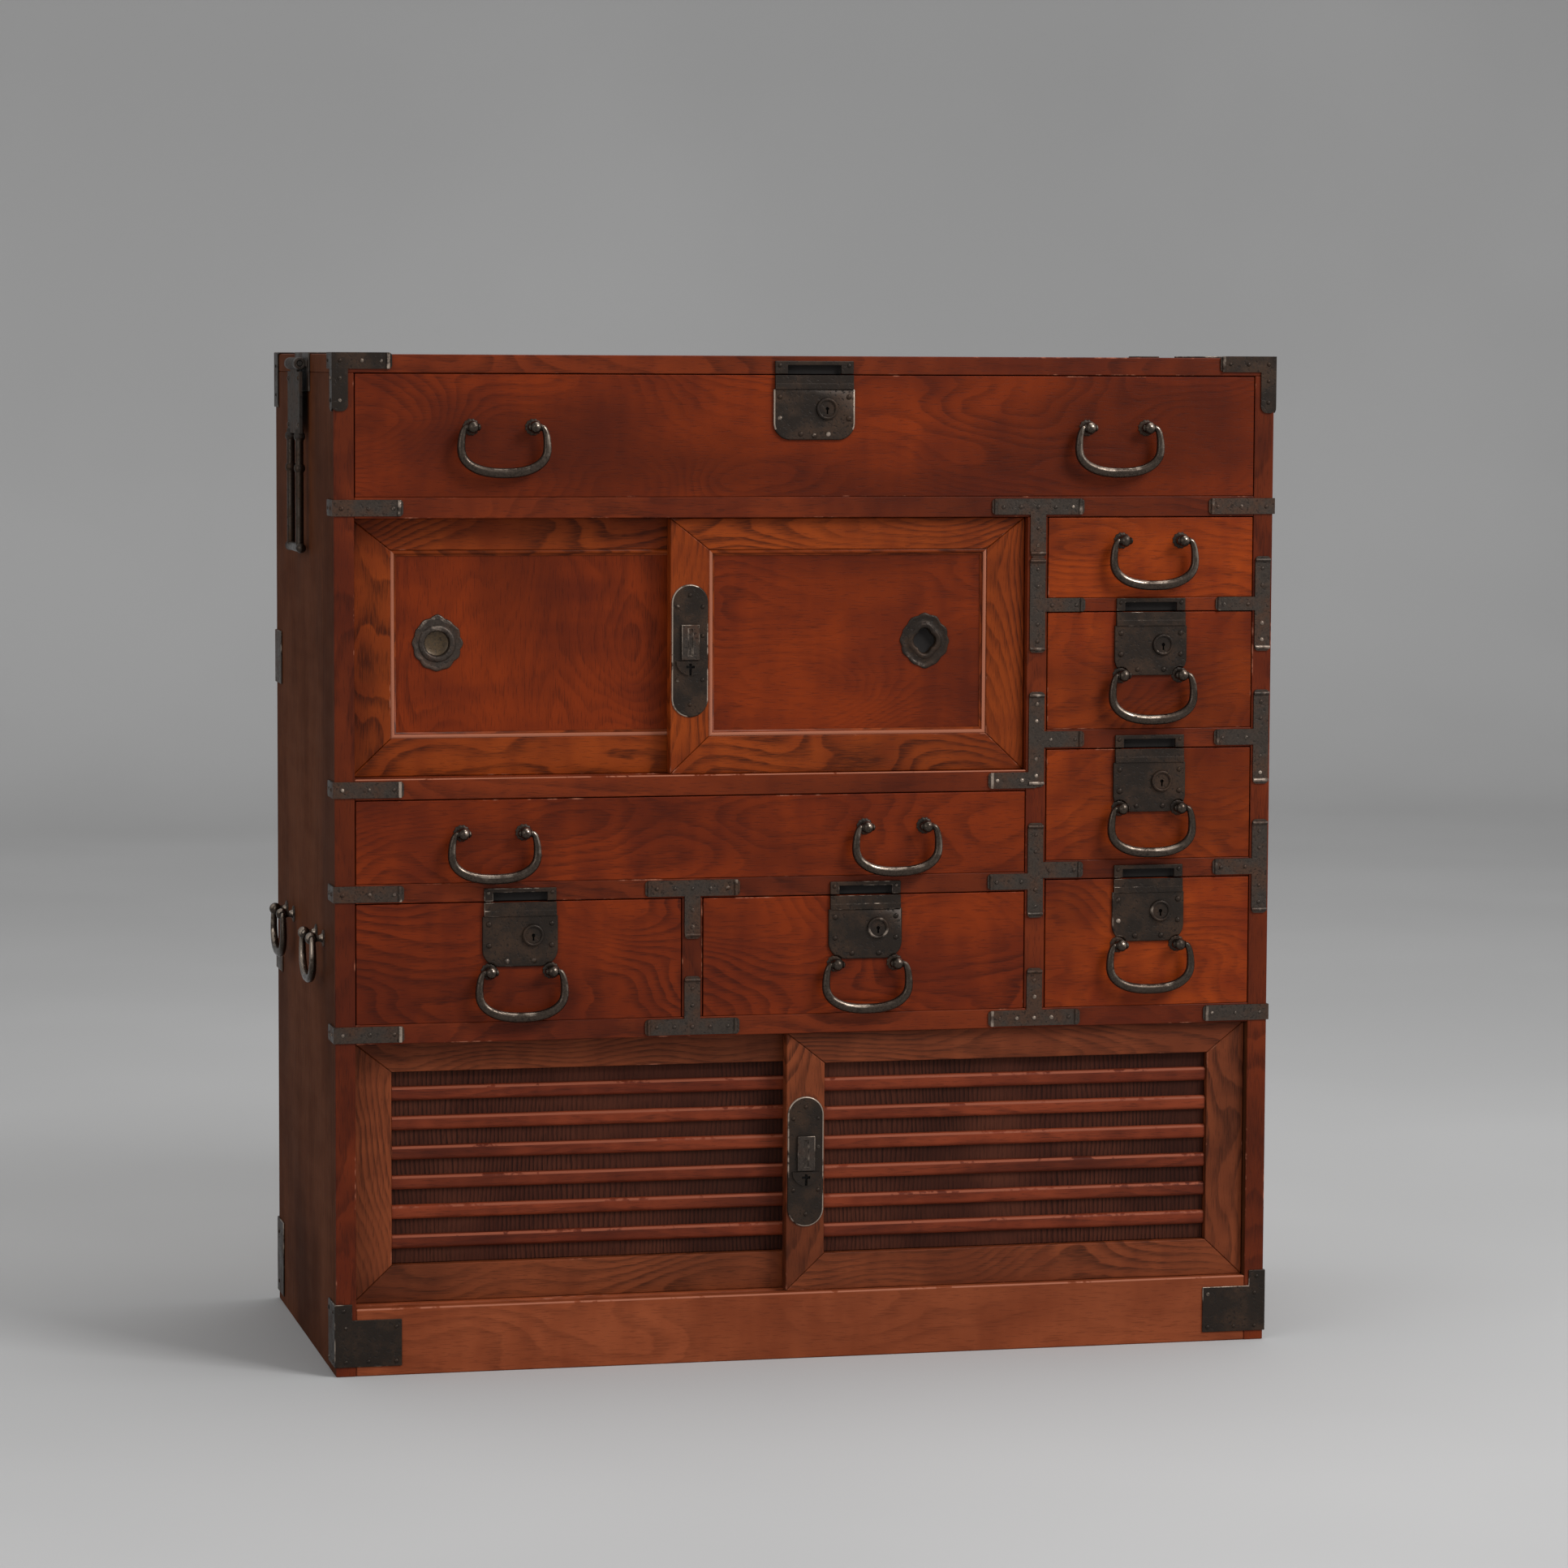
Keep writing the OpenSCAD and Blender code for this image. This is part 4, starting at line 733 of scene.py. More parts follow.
def add_rings(bm, rings, closed_ends=True, edge=0.0, loop=False):
    """Joins rings of points into a skin; loop joins the last ring to the first."""
    mark = wear_and_highlight_marks(bm)
    rows = [[bm.verts.new(point) for point in ring] for ring in rings]
    count = len(rows[0])
    pairs = list(zip(rows, rows[1:])) + ([(rows[-1], rows[0])] if loop else [])
    faces = [bm.faces.new((a[i], a[(i + 1) % count], b[(i + 1) % count], b[i]))
             for a, b in pairs for i in range(count)]
    if closed_ends and not loop:
        faces += [bm.faces.new(rows[0][::-1]), bm.faces.new(rows[-1])]
    for face in faces:
        face[mark] = edge
    return faces


def round_turn(count):
    """Angles once round, in equal steps."""
    return [2 * math.pi * i / count for i in range(count)]


def in_mm(*pairs):
    """Pairs of millimetres, in metres."""
    return [(first * MM, second * MM) for first, second in pairs]


def add_turned(bm, place, profile, sides=24, edge=0.0, closed_ends=True):
    """A turned form: profile lists (radius, height) along z, set in place by a matrix."""
    rings = [[place @ Vector((r * math.cos(a), r * math.sin(a), h)) for a in round_turn(sides)]
             for r, h in profile]
    faces = add_rings(bm, rings, closed_ends, edge)
    bmesh.ops.recalc_face_normals(bm, faces=faces)


def frame_at(spot, out, up=Vector((0, 0, 1))):
    """A matrix at spot whose z axis points out and whose y axis points up."""
    out = out.normalized()
    side = up.cross(out).normalized()
    turn = Matrix((side, out.cross(side), out)).transposed().to_4x4()
    return Matrix.Translation(spot) @ turn


def add_nail(bm, spot, out, radius, draw, edge=1.2):
    """A hand-made nail head: a low, slightly uneven dome."""
    size = radius * draw.uniform(0.88, 1.12)
    tilt = Matrix.Rotation(draw.uniform(-0.12, 0.12), 4, "X")
    rise = size * 0.62
    profile = [(size * 1.02, -0.2 * MM), (size, size * 0.12), (size * 0.86, rise * 0.55),
               (size * 0.55, rise * 0.88), (size * 0.2, rise)]
    add_turned(bm, frame_at(spot, out) @ tilt, profile, sides=12, edge=edge)


FORWARD, LEFTWARD, RIGHTWARD = Vector((0, -1, 0)), Vector((-1, 0, 0)), Vector((1, 0, 0))


def on_front(x, z, y=0.0):
    """A point on the front face; y is how far it lies in front of the wood."""
    return Vector((x, FRONT - y, z))


# ---- Wood ----

def add_case():
    """Side boards with lacquered front edges, the top with stained ends, bottom and back."""
    for side in ("left", "right"):
        board = add_wood("side_board_" + side, side + "_side_board",
                         [side_wood(), case_wood()], along=upright)
        for face in board.data.polygons:
            face.material_index = 1 if face.center.y < FRONT + 1 * MM else 0
    panel = add_wood("top_panel", "top_board", [case_wood(), hollow_dark(), side_wood()])
    for face in panel.data.polygons:
        if not LEFT + 1 * MM < face.center.x < RIGHT - 1 * MM and abs(face.normal.x) > 0.5:
            face.material_index = 2
    add_wood("bottom_boards", "floor_board", [bare_wood()])
    add_wood("rear_boards", "back_boards", [bare_wood()], along=upright)


def rub_sill(board, height):
    """Marks the front edge at the top of a rail that doors slide over as rubbed pale."""
    marks = board.data.attributes["edge"].data
    for face in board.data.polygons:
        near = abs(face.center.z - height) < 2 * MM and face.center.y < FRONT + 2 * MM
        if near and 0.1 < face.normal.z < 0.99:
            marks[face.index].value = 2.6


def add_rails():
    """The plinth, the rails with their bolt pockets, and the posts between them."""
    plinth = add_wood("plinth_rail", "base_rail", [plinth_wood()], arris=1.8 * MM)
    rub_sill(plinth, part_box("base_rail")[1].z)
    rails = add_wood("cross_rails", "shelves", [case_wood(), hollow_dark()])
    rub_sill(rails, UPPER_SILL)
    add_wood("column_rails", "column_shelves", [case_wood(), hollow_dark()])
    add_wood("upright_posts", "partitions", [case_wood()], along=upright)


def add_drawers():
    """Drawer fronts in lacquered wood, with their boxes left bare."""
    for node in DRAWERS:
        bm = clean_mesh(node)
        round_edges(bm, bpy.context.scene.chest_wood.arris * 0.8)
        lay_grain(bm, node)
        for face in bm.faces:
            in_front = face.calc_center_median().y < FRONT + DRAWER_FRONT
            face.material_index = 0 if in_front else 1
        front = (column_wood() if "column" in node else
                 swirled_wood() if "small" in node else drawer_wood())
        add_piece(node + "_front", bm, node, [front, bare_wood()])


def add_bead(bm, low, high, face_y):
    """A mitred moulding round a panel, from its lowest to its highest corner."""
    layer = bm.verts.layers.float_vector["wood"]
    mark = wear_and_highlight_marks(bm)
    profile = in_mm((-0.3, 4.9), (-0.3, 1.9), (0.5, 1.0), (1.6, 0.7), (2.6, 0.9), (3.3, 1.7),
                    (3.6, 2.7), (3.9, 3.4), (4.9, 3.7), (5.4, 4.3), (5.5, 4.95))
    rings = []
    for far_x, far_z in ((0, 0), (1, 0), (1, 1), (0, 1)):
        rings.append([Vector((high.x - inward if far_x else low.x + inward, face_y + deep,
                              high.z - inward if far_z else low.z + inward))
                      for inward, deep in profile])
    faces = add_rings(bm, rings, loop=True)
    for place, face in enumerate(faces):
        # the crest gets a painted highlight on the bottom and both sides; along the top, where
        # the frame shades it, it gets none
        lit = place // len(profile) != 2 and place % len(profile) in (1, 2, 3, 4)
        face[mark] = 3.4 if lit else 0.0
        for vert in face.verts:
            vert[layer] = Vector((vert.co.x + vert.co.z, vert.co.y, vert.co.z * 0.1))
    bmesh.ops.recalc_face_normals(bm, faces=faces)


def is_panel(low, high, face_y):
    """Whether a solid is the broad board set back behind a door's frame or slats."""
    return min(high.x - low.x, high.z - low.z) > 100 * MM and low.y > face_y + 1 * MM


def is_slat(low, high):
    """Whether a solid is as long and as low as a slat."""
    return high.x - low.x > 200 * MM and high.z - low.z < 20 * MM


def is_bead(low, high):
    """Whether a solid is a strip of plain bead, for which a moulded one is built."""
    return sorted(high - low)[1] < 5 * MM


def round_slats(bm):
    """Rounds the slats' front edges, and paints a pale highlight, with some rubbing, on the
    rounded faces that look up.
    """
    noses = []
    for group in solids(bm):
        low, high = extent(group)
        if is_slat(low, high) and high.z - low.z > 5 * MM:
            noses += [e for e in edges_of(group)
                      if all(abs(v.co.y - low.y) < SAME for v in e.verts)
                      and abs(e.verts[0].co.x - e.verts[1].co.x) > 100 * MM]
    if noses:
        round_edges(bm, bpy.context.scene.chest_wood.slat_round, noses, steps=5)
        for face in bm.faces:
            face.normal_update()
            # rounded faces that look up get the painted highlight
            lit = 0.3 < face.normal.z < 0.85 and face.normal.y < -0.3
            face[wear_and_highlight_marks(bm)] = 2.3 if lit else 0.0


def add_doors():
    """Sliding doors: mitred frames with beaded panels above and rounded slats below."""
    for node in ("upper_door_left", "upper_door_right", "lower_door_left", "lower_door_right"):
        bm = clean_mesh(node)
        face_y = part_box(node)[0].y
        upper = node.startswith("upper")
        drop_solids(bm, is_bead)
        panel = next(box for box in map(extent, solids(bm)) if is_panel(*box, face_y))
        round_slats(bm)
        round_edges(bm, bpy.context.scene.chest_wood.arris)
        swirl = None if node == "upper_door_right" else UPWARDS
        lay_grain(bm, node, lambda low, high: swirl if is_panel(low, high, face_y) else None)
        for group in solids(bm):
            low, high = extent(group)
            kind = 2 if is_slat(low, high) else 1 if is_panel(low, high, face_y) else 0
            for face in {f for v in group for f in v.link_faces}:
                face.material_index = kind
        if upper:
            add_bead(bm, *panel, face_y)
        woods = [lower_wood(), slat_backing(), slat_wood()]
        if upper:
            woods = [door_wood(), drawer_wood(), drawer_wood()]
        add_piece(node + "_joinery", bm, node, woods)


# ---- Straps and corner plates ----

def strap_nails():
    """Where the straps' nails are, as pairs of a place and the way it faces."""
    found = []

    def row(x, z, dx, dz, steps):
        """Nails on the front at so many millimetres from a point, in one direction."""
        found.extend((on_front(x + dx * s * MM, z + dz * s * MM, IRON), FORWARD)
                     for s in steps)

    for x, way, out, heights in ((LEFT, 1, LEFTWARD, (RAIL_1, RAIL_2, RAIL_3, RAIL_4)),
                                 (RIGHT, -1, RIGHTWARD, (RAIL_1, RAIL_4))):
        for z in heights:
            row(x, z, way, 0, (7, 32, 55))
            for deep in (10, 26):
                found.append((Vector((x - way * IRON, FRONT + deep * MM, z)), out))
    for x, z, down in ((POST_X, RAIL_1, -1), (POST_X, RAIL_4, 1), (DIVIDER_X, RAIL_3, -1),
                       (DIVIDER_X, RAIL_4, 1)):
        row(x, z, 1, 0, (-34, -17, 0, 17, 34))
        row(x, z, 0, down, (20, 36))
    branches = {POST_X: [(COLUMN_RAILS[0], 1), (COLUMN_RAILS[1], 1), (COLUMN_RAILS[2], 1),
                         (RAIL_2, -1), (RAIL_3, -1)],
                STILE_X: [(z, -1) for z in COLUMN_RAILS]}
    for x, arms in branches.items():
        for z in COLUMN_RAILS:
            row(x, z, 0, 1, (-34, -18, 18, 34))
        for z, way in arms:
            row(x, z, way, 0, (14, 38))
    return found


def corner_nails():
    """Where the nails of the corner and foot plates are, on both sides of the case."""
    found = []
    top = TOP - 6 * MM
    for x, way, out in ((LEFT, 1, LEFTWARD), (RIGHT, -1, RIGHTWARD)):
        face = x - way * IRON
        for s in (6, 26, 44):
            found.append((on_front(x + way * s * MM, top, IRON), FORWARD))
        for s in (22, 42):
            found.append((on_front(x + way * 6 * MM, TOP - s * MM, IRON), FORWARD))
            found.append((Vector((face, FRONT + 6 * MM, TOP - s * MM)), out))
        found.append((Vector((face, FRONT + 24 * MM, top)), out))
        for s, z in ((9, 14), (30, 14), (56, 14), (56, 46), (9, 46), (7, 62)):
            found.append((on_front(x + way * s * MM, z * MM, IRON), FORWARD))
        for s, z in ((8, 14), (34, 14), (8, 60), (34, 60)):
            found.append((Vector((face, FRONT + s * MM, z * MM)), out))
        for z in (TOP - 12 * MM, TOP - 40 * MM, 20 * MM, 70 * MM):
            found.append((Vector((face, BACK - 14 * MM, z)), out))
    return found


def add_plates(name, node, nails, metal, nib_highlights=False):
    """Dresses one node of iron plates: softened edges, a painted highlight on each nib where it
    stands proud, and hand-made nails.
    """
    settings = bpy.context.scene.chest_iron
    bm = clean_mesh(node)
    round_edges(bm, settings.arris)
    mark = wear_and_highlight_marks(bm)
    for face in bm.faces:
        spot = face.calc_center_median()
        # each proud nib gets a painted highlight, stronger near the left side
        if nib_highlights and spot.y < FRONT - IRON - 0.3 * MM:
            face[mark] = 1.5 if spot.x < LEFT + 100 * MM else 0.9
    draw = random.Random(name)
    for spot, out in nails:
        add_nail(bm, spot, out, settings.nail, draw, edge=1.0)
    add_piece(name, bm, node, [metal])


def add_straps():
    """The straps, the corner and foot plates, and the strikes above the locks."""
    add_plates("rail_straps", "edge_brackets", strap_nails(), iron(), nib_highlights=True)
    add_plates("corner_plates", "corner_brackets", corner_nails(), lock_iron(), nib_highlights=True)
    nails = []
    for drawer in LOCKED:
        x, top = top_middle(drawer)
        side = 33 if drawer == "drawer_top" else 30
        for s in (-side, side):
            nails.append((on_front(x + s * MM, top + 9 * MM, LOCK_PLATE), FORWARD))
    add_plates("lock_strikes", "strike_plates", nails, lock_iron())


# ---- Bails and posts ----

def hinge_of(node):
    """A bail's pivot, its axis and the way it swings out."""
    pivot, axis = Vector(HINGES[node]["pos_m"]), Vector(HINGES[node]["axis"])
    return pivot, axis, FORWARD if abs(axis.x) > 0.5 else Vector((-axis.y, 0, 0))


def polish_and_highlight(bm, faces, out, kind=0):
    """Paints a highlight on the faces that look up, outwards and to the right, in the pale colour
    of hand-rubbed iron.
    """
    mark = wear_and_highlight_marks(bm)
    lit = 0.7 * Vector((0, 0, 1)) + 0.55 * out + 0.6 * Vector((-out.y, out.x, 0))
    for face in faces:
        face.normal_update()
        look = face.normal.dot(lit)
        face[mark] = max(0.0, 2.5 * look - 1.1)
        face.material_index = kind


def add_post(bm, spot, out, across, kind=0):
    """A ball-headed eye post on its petalled rosette; spot is on the wood's face."""
    place = frame_at(spot, out)
    petals, rings = 12, []
    for radius, height, depth in ((8.0, -0.2, 0.4), (8.0, 0.7, 0.4), (7.0, 1.5, 0.3),
                                  (5.4, 1.7, 0.1), (4.2, 1.6, 0.0)):
        ring = []
        for angle in round_turn(petals * 4):
            wave = radius * MM - depth * MM * (1 + math.cos(petals * angle))
            ring.append(place @ Vector((wave * math.cos(angle), wave * math.sin(angle),
                                        height * MM)))
        rings.append(ring)
    faces = add_rings(bm, rings, edge=0.3)
    bmesh.ops.recalc_face_normals(bm, faces=faces)
    before = set(bm.faces)
    add_turned(bm, place, in_mm((4.4, 0.5), (4.3, 2.0), (3.5, 3.2), (3.0, 5.0), (3.3, 7.6)),
               sides=20)
    turned = frame_at(spot + out * PIVOT_OUT, across)
    ball = []
    for i in range(13):
        angle = math.pi * (0.09 + 0.82 * i / 12)
        ball.append((5.8 * MM * math.sin(angle), -5.6 * MM * math.cos(angle)))
    add_turned(bm, turned, ball, sides=24, edge=0.6)
    for way in (-1, 1):
        add_turned(bm, turned, in_mm((3.0, way * 4.9), (3.5, way * 5.2), (3.3, way * 5.7),
                                     (2.6, way * 5.75)), sides=16, edge=0.8)
    # the ball, the neck and the collars get the painted highlight
    polish_and_highlight(bm, [face for face in bm.faces if face not in before], out, kind)


def bail_line(t, half, drop, pin):
    """Half of a bail's centre line, from its lowest point (0) to its pin (1)."""
    knee = -drop * 0.44
    if t < 0.5:
        a = math.pi * t
        return (half * math.sin(a) ** 0.85, knee - (drop + knee) * math.cos(a) ** 0.85)
    a = math.pi * (t - 0.5)
    return (pin + (half - pin) * math.cos(a), knee * (1 - math.sin(a)))


def add_bail(node, width, drop, gap, thick):
    """A hanging bail: a bar that is thickest below and tapers into its posts."""
    pivot, _, out = hinge_of(node)
    place = frame_at(pivot, out)
    half, fall = (width / 2 - BAIL_SIDE) * MM, (drop - thick) * MM
    pin = (gap / 2 + TIP_OUT) * MM
    bm = bmesh.new()
    rings, steps, sides = [], 26, 16
    for i in range(-steps, steps + 1):
        t, way = abs(i) / steps, -1 if i < 0 else 1
        x, z = bail_line(t, half, fall, pin)
        ax, az = bail_line(max(t - 0.01, 0), half, fall, pin)
        bx, bz = bail_line(min(t + 0.01, 1), half, fall, pin)
        heading = 0 if t == 0 else math.pi if t == 1 else math.atan2(bz - az, bx - ax)
        radius = (thick - (thick - BAIL_TIP) * t ** 1.3) * MM
        square = 0.86 + 0.1 * t
        ring = []
        for k in range(sides):
            angle = 2 * math.pi * (k + 0.5) / sides
            ca, sa = math.cos(angle), math.sin(angle)
            deep = math.copysign(abs(ca) ** square, ca) * radius * (0.9 + 0.1 * t)
            tall = math.copysign(abs(sa) ** square, sa) * radius * 0.97
            hammered = noise.noise(Vector((way * x, z, k * 0.004)) * 90)
            tall *= 1 + 0.025 * hammered
            ring.append(place @ Vector((way * (x - tall * math.sin(heading)),
                                        z + tall * math.cos(heading), deep)))
        rings.append(ring)
    add_rings(bm, rings, edge=0.7)
    for way in (-1, 1):
        along = place.to_3x3() @ Vector((way, 0, 0))
        reach = frame_at(pivot + along * (gap / 2 - PIN_IN) * MM, along)
        add_turned(bm, reach, in_mm((2.1, 0), (2.1, PIN_LONG)), sides=14)
        add_turned(bm, reach, in_mm((1.2, -1.9), (2.5, -1.3), (2.9, -0.5), (2.5, 0.2)),
                   sides=14, edge=0.8)
    bmesh.ops.recalc_face_normals(bm, faces=bm.faces)
    # the whole bar gets the painted highlight by the way its faces look
    polish_and_highlight(bm, bm.faces, out)
    add_piece(node + "_bar", bm, node, [handled_iron()])


def add_bails():
    """The ten bails on the front and the four on the sides."""
    for node in HINGES:
        if node.startswith("bail"):
            add_bail(node, *(SIDE_BAIL if "side" in node else FRONT_BAIL))


def posts_for(bm, node, gap, kind):
    """Adds the two posts that carry a bail, in the mesh's material number kind."""
    pivot, axis, out = hinge_of(node)
    for way in (-1, 1):
        add_post(bm, pivot + axis * way * gap / 2 * MM - out * PIVOT_OUT, out, axis, kind)


# ---- Locks ----

def drop_solids(bm, unwanted):
    """Takes out the solids for which unwanted(low, high) is true."""
    gone = [v for group in solids(bm) if unwanted(*extent(group)) for v in group]
    if gone:
        bmesh.ops.delete(bm, geom=gone, context="VERTS")


def is_post(low, high):
    """Whether a solid is a plain bail post, for which a finer one is built."""
    return max(high - low) < 22 * MM


def add_shade_sheet(bm, spot, width, height):
    """A dark sheet of painted shade behind a keyhole, just proud of the wood."""
    corners = [bm.verts.new((spot.x + x * width / 2, spot.y, spot.z + z * height / 2))
               for x, z in ((-1, -1), (1, -1), (1, 1), (-1, 1))]
    bm.faces.new(corners).material_index = 1


def add_lock_studs(bm, x, top, wide, draw):
    """Studs round the edge of a lock plate, and a rolled rim on its keyhole boss."""
    settings = bpy.context.scene.chest_iron
    broad, side = wide == BROAD_LOCK, wide / 2 - 6
    for s, depth in ((-side, 20), (-side, 40), (side, 20), (side, 40), (-13, 54.5),
                     (13, 54.5), (0, 56)):
        if s or broad:
            add_nail(bm, on_front(x + s * MM, top - depth * MM, 2.9 * MM), FORWARD,
                     settings.stud, draw, edge=1.3 if broad else 0.9)
    spot = on_front(x + BOSS_ASIDE, top - BOSS_BELOW, LOCK_PLATE)
    rim = in_mm((10.4, -0.4), (10.5, 0.8), (10.1, 2.2), (9.2, 3.0), (8.2, 2.9), (7.4, 2.1),
                (7.1, 0.6))
    add_turned(bm, frame_at(spot, FORWARD), rim, sides=32, edge=1.0, closed_ends=False)
    add_shade_sheet(bm, on_front(spot.x, spot.z - 1 * MM, 0.3 * MM), 6 * MM, 9 * MM)


def shape_lock(bm, drawer):
    """Rounds a lock plate's rim and moulded band, marks them pale, with a painted highlight on
    the broad plate's sides, and sets its studs.
    """
    x, top = top_middle(drawer)
    topmost = drawer == "drawer_top"
    under_band = top - 14 * MM
    boss = on_front(x + BOSS_ASIDE, top - BOSS_BELOW, LOCK_PLATE)
    rim = rim_edges(bm, boss.y, lambda spot: (spot - boss).length > 12 * MM
                    and spot.z < under_band)
    round_edges(bm, (2.4 if topmost else 1.7) * MM, rim, steps=3)
    for face in bm.faces:
        spot = face.calc_center_median() - boss
        # the broad plate's rounded rim gets a painted highlight at its two sides, and is marked
        # more faintly elsewhere
        flank = topmost and abs(spot.x + BOSS_ASIDE) > 36 * MM and abs(spot.z) < 19 * MM
        face[wear_and_highlight_marks(bm)] *= 2.6 if flank else 0.6
    band = [e for e in bm.edges if min(v.co.z for v in e.verts) > under_band and is_sharp(e)]
    round_edges(bm, 0.6 * MM, band)
    add_lock_studs(bm, x, top, BROAD_LOCK if topmost else COMMON_LOCK,
                   random.Random(drawer + "_iron"))


def add_locks():
    """Lock plates with their bands, studs and bosses, and the posts beside them."""
    for drawer in DRAWERS:
        node = drawer + "_iron"
        bm = clean_mesh(node)
        drop_solids(bm, is_post)
        if drawer in LOCKED:
            shape_lock(bm, drawer)
        for bail in HINGES:
            if HINGES[bail]["parent"] == drawer:
                posts_for(bm, bail, FRONT_GAP, 2)
        add_piece(drawer + "_fittings", bm, node, [lock_iron(), hollow_dark(), handled_iron()])
    for name in ("top", "small_left", "small_right", "column_2", "column_3", "column_4"):
        bolt = frame["nodes"]["bolt_" + name]
        bolt.data.materials.clear()
        bolt.data.materials.append(iron())


# ---- Door fittings ----

def add_pull(bm, centre, seed, four_leaf):
    """A finger pull: an uneven, cusped oval rim round a rolled collar and a sunk cup."""
    draw = random.Random(seed)
    cusps = [(2 * math.pi * (i + draw.uniform(-0.12, 0.12)) / 12, draw.uniform(0.8, 2.4))
             for i in range(12)]

    def outer(angle):
        reach = 22.6 + 2.3 * abs(math.sin(angle)) ** 2 - 1.1 * abs(math.sin(2 * angle))
        for spot, rise in cusps:
            near = abs((angle - spot + math.pi) % (2 * math.pi) - math.pi)
            reach += rise * max(0, 1 - near / 0.26) ** 0.7
        return reach

    def inner(angle):
        if not four_leaf:
            return 11.5
        return 9.4 + 2.6 * abs(math.cos(2 * angle)) ** 1.4 - 1.2 * abs(math.cos(angle) ** 8)

    place, turns, rings = frame_at(centre, FORWARD), round_turn(96), []

    def ring(reach, height):
        rings.append([place @ Vector((reach(a) * MM * math.cos(a), reach(a) * MM * math.sin(a),
                                      height * MM)) for a in turns])

    for extra, height in ((-8, -6.6), (1.0, -6.4), (1.2, -0.1)):
        ring(lambda a: inner(a) + extra, height)
    for part, height in ((1, 0), (1, 0.8), (0.975, 1.5), (0.92, 1.7), (0.86, 1.1), (0.8, 0.9)):
        ring(lambda a: outer(a) * part, height)
    for extra, height in ((6.0, 0.9), (5.2, 1.9), (3.6, 2.7), (1.8, 2.6), (0.5, 1.8),
                          (0.0, 0.6), (-0.3, -4.4)):
        ring(lambda a: inner(a) + extra, height)
    for part, height in ((0.8, -5.5), (0.45, -5.7), (0.12, -5.6)):
        ring(lambda a: inner(a) * part, height)
    faces = add_rings(bm, rings)
    mark = wear_and_highlight_marks(bm)
    back = place.inverted()
    for face in faces:
        spot = back @ face.calc_center_median()
        face[mark] = 1.1 if spot.z > 1.3 * MM else 0.4
        if -6 * MM < spot.z < -4 * MM:
            face.material_index = 1
    bmesh.ops.recalc_face_normals(bm, faces=faces)


def pull_centre(side):
    """The middle of an upper door's finger pull, on the panel's face."""
    low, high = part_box("upper_door_" + side)
    x = low.x + LEFT_PULL_IN if side == "left" else high.x - RIGHT_PULL_IN
    return Vector((x, low.y + PULL_DEEP, PULL_HEIGHT))


def door_lock_studs(bm, door, middle):
    """Studs on a door's lock plate, given by their places across and above its middle."""
    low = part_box(door)[0]
    draw = random.Random(door)
    x, y = low.x + DOOR_LOCK_IN, low.y - IRON
    studs = ((0, 52), (-12, 41), (12, 41), (12, 14), (-12, -27), (12, -27), (0, -50))
    for s, rise in studs:
        add_nail(bm, Vector((x + s * MM, y, middle + rise * MM)), FORWARD,
                 bpy.context.scene.chest_iron.nail, draw, edge=0.9)


def add_door_fittings():
    """Finger pulls, lock plates and latches of the sliding doors."""
    bm = bmesh.new()
    add_pull(bm, pull_centre("left"), "left pull", False)
    add_piece("pull_left", bm, "upper_door_left_pull", [iron(), cup_metal()])

    for name, (node, middle) in DOOR_LOCKS.items():
        door = name + "_door_right"
        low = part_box(door)[0]
        x = low.x + DOOR_LOCK_IN
        bm = clean_mesh(node)
        drop_solids(bm, lambda near, far: near.x > low.x + 60 * MM)
        rim = rim_edges(bm, low.y - IRON, lambda spot: abs(spot.x - x) > 16 * MM
                        or abs(spot.z - middle) > 46 * MM)
        round_edges(bm, 1.3 * MM, rim, steps=3)
        for face in bm.faces:
            face[wear_and_highlight_marks(bm)] *= 1.8
        steps = [e for e in bm.edges if is_sharp(e, 0.6)
                 and min(v.co.y for v in e.verts) < low.y - IRON - 0.4 * MM]
        round_edges(bm, 0.3 * MM, steps)
        door_lock_studs(bm, door, middle)
        add_shade_sheet(bm, Vector((x, low.y - 0.2 * MM, middle - 17 * MM)), 10 * MM, 13 * MM)
        if name == "upper":
            add_pull(bm, pull_centre("right"), "right pull", True)
        add_piece(name + "_door_plate", bm, node, [lock_iron(), hollow_dark()])
    for name in DOOR_LOCKS:
        node = f"latch_{name}_door"
        bm = clean_mesh(node)
        round_edges(bm, bpy.context.scene.chest_iron.arris)
        add_piece(f"{name}_latch_button", bm, node, [iron()])


# ---- Carrying bars ----

def add_carrying_bars():
    """The hinged carrying bars on both sides, with their mounts and the side bails' posts."""
    settings = bpy.context.scene.chest_iron
    for side in ("left", "right"):
        node = "carrying_bar_" + side
        bm = clean_mesh(node)
        round_edges(bm, settings.arris, turn=50)
        pivot = Vector(HINGES[node]["pos_m"])
        out = LEFTWARD if side == "left" else RIGHTWARD
        draw = random.Random(node)
        for face in bm.faces:
            if face.calc_center_median().z > pivot.z - 70 * MM:
                face.material_index = 1
        for y in (-34, 34):
            for z in (-14, -58):
                add_nail(bm, pivot + Vector((0, y * MM, z * MM)) + out * 1.5 * MM, out,
                         settings.stud, draw)
        add_piece(node + "_forging", bm, node, [bar_iron(), bar_plate_iron()])
    bm = clean_mesh("side_handle_mounts")
    drop_solids(bm, is_post)
    round_edges(bm, settings.arris, turn=50)
    for node in HINGES:
        if node.startswith("bail_side"):
            posts_for(bm, node, SIDE_GAP, 1)
    add_piece("side_fittings", bm, "side_handle_mounts", [iron(), handled_iron()])


# ---- Stage ----

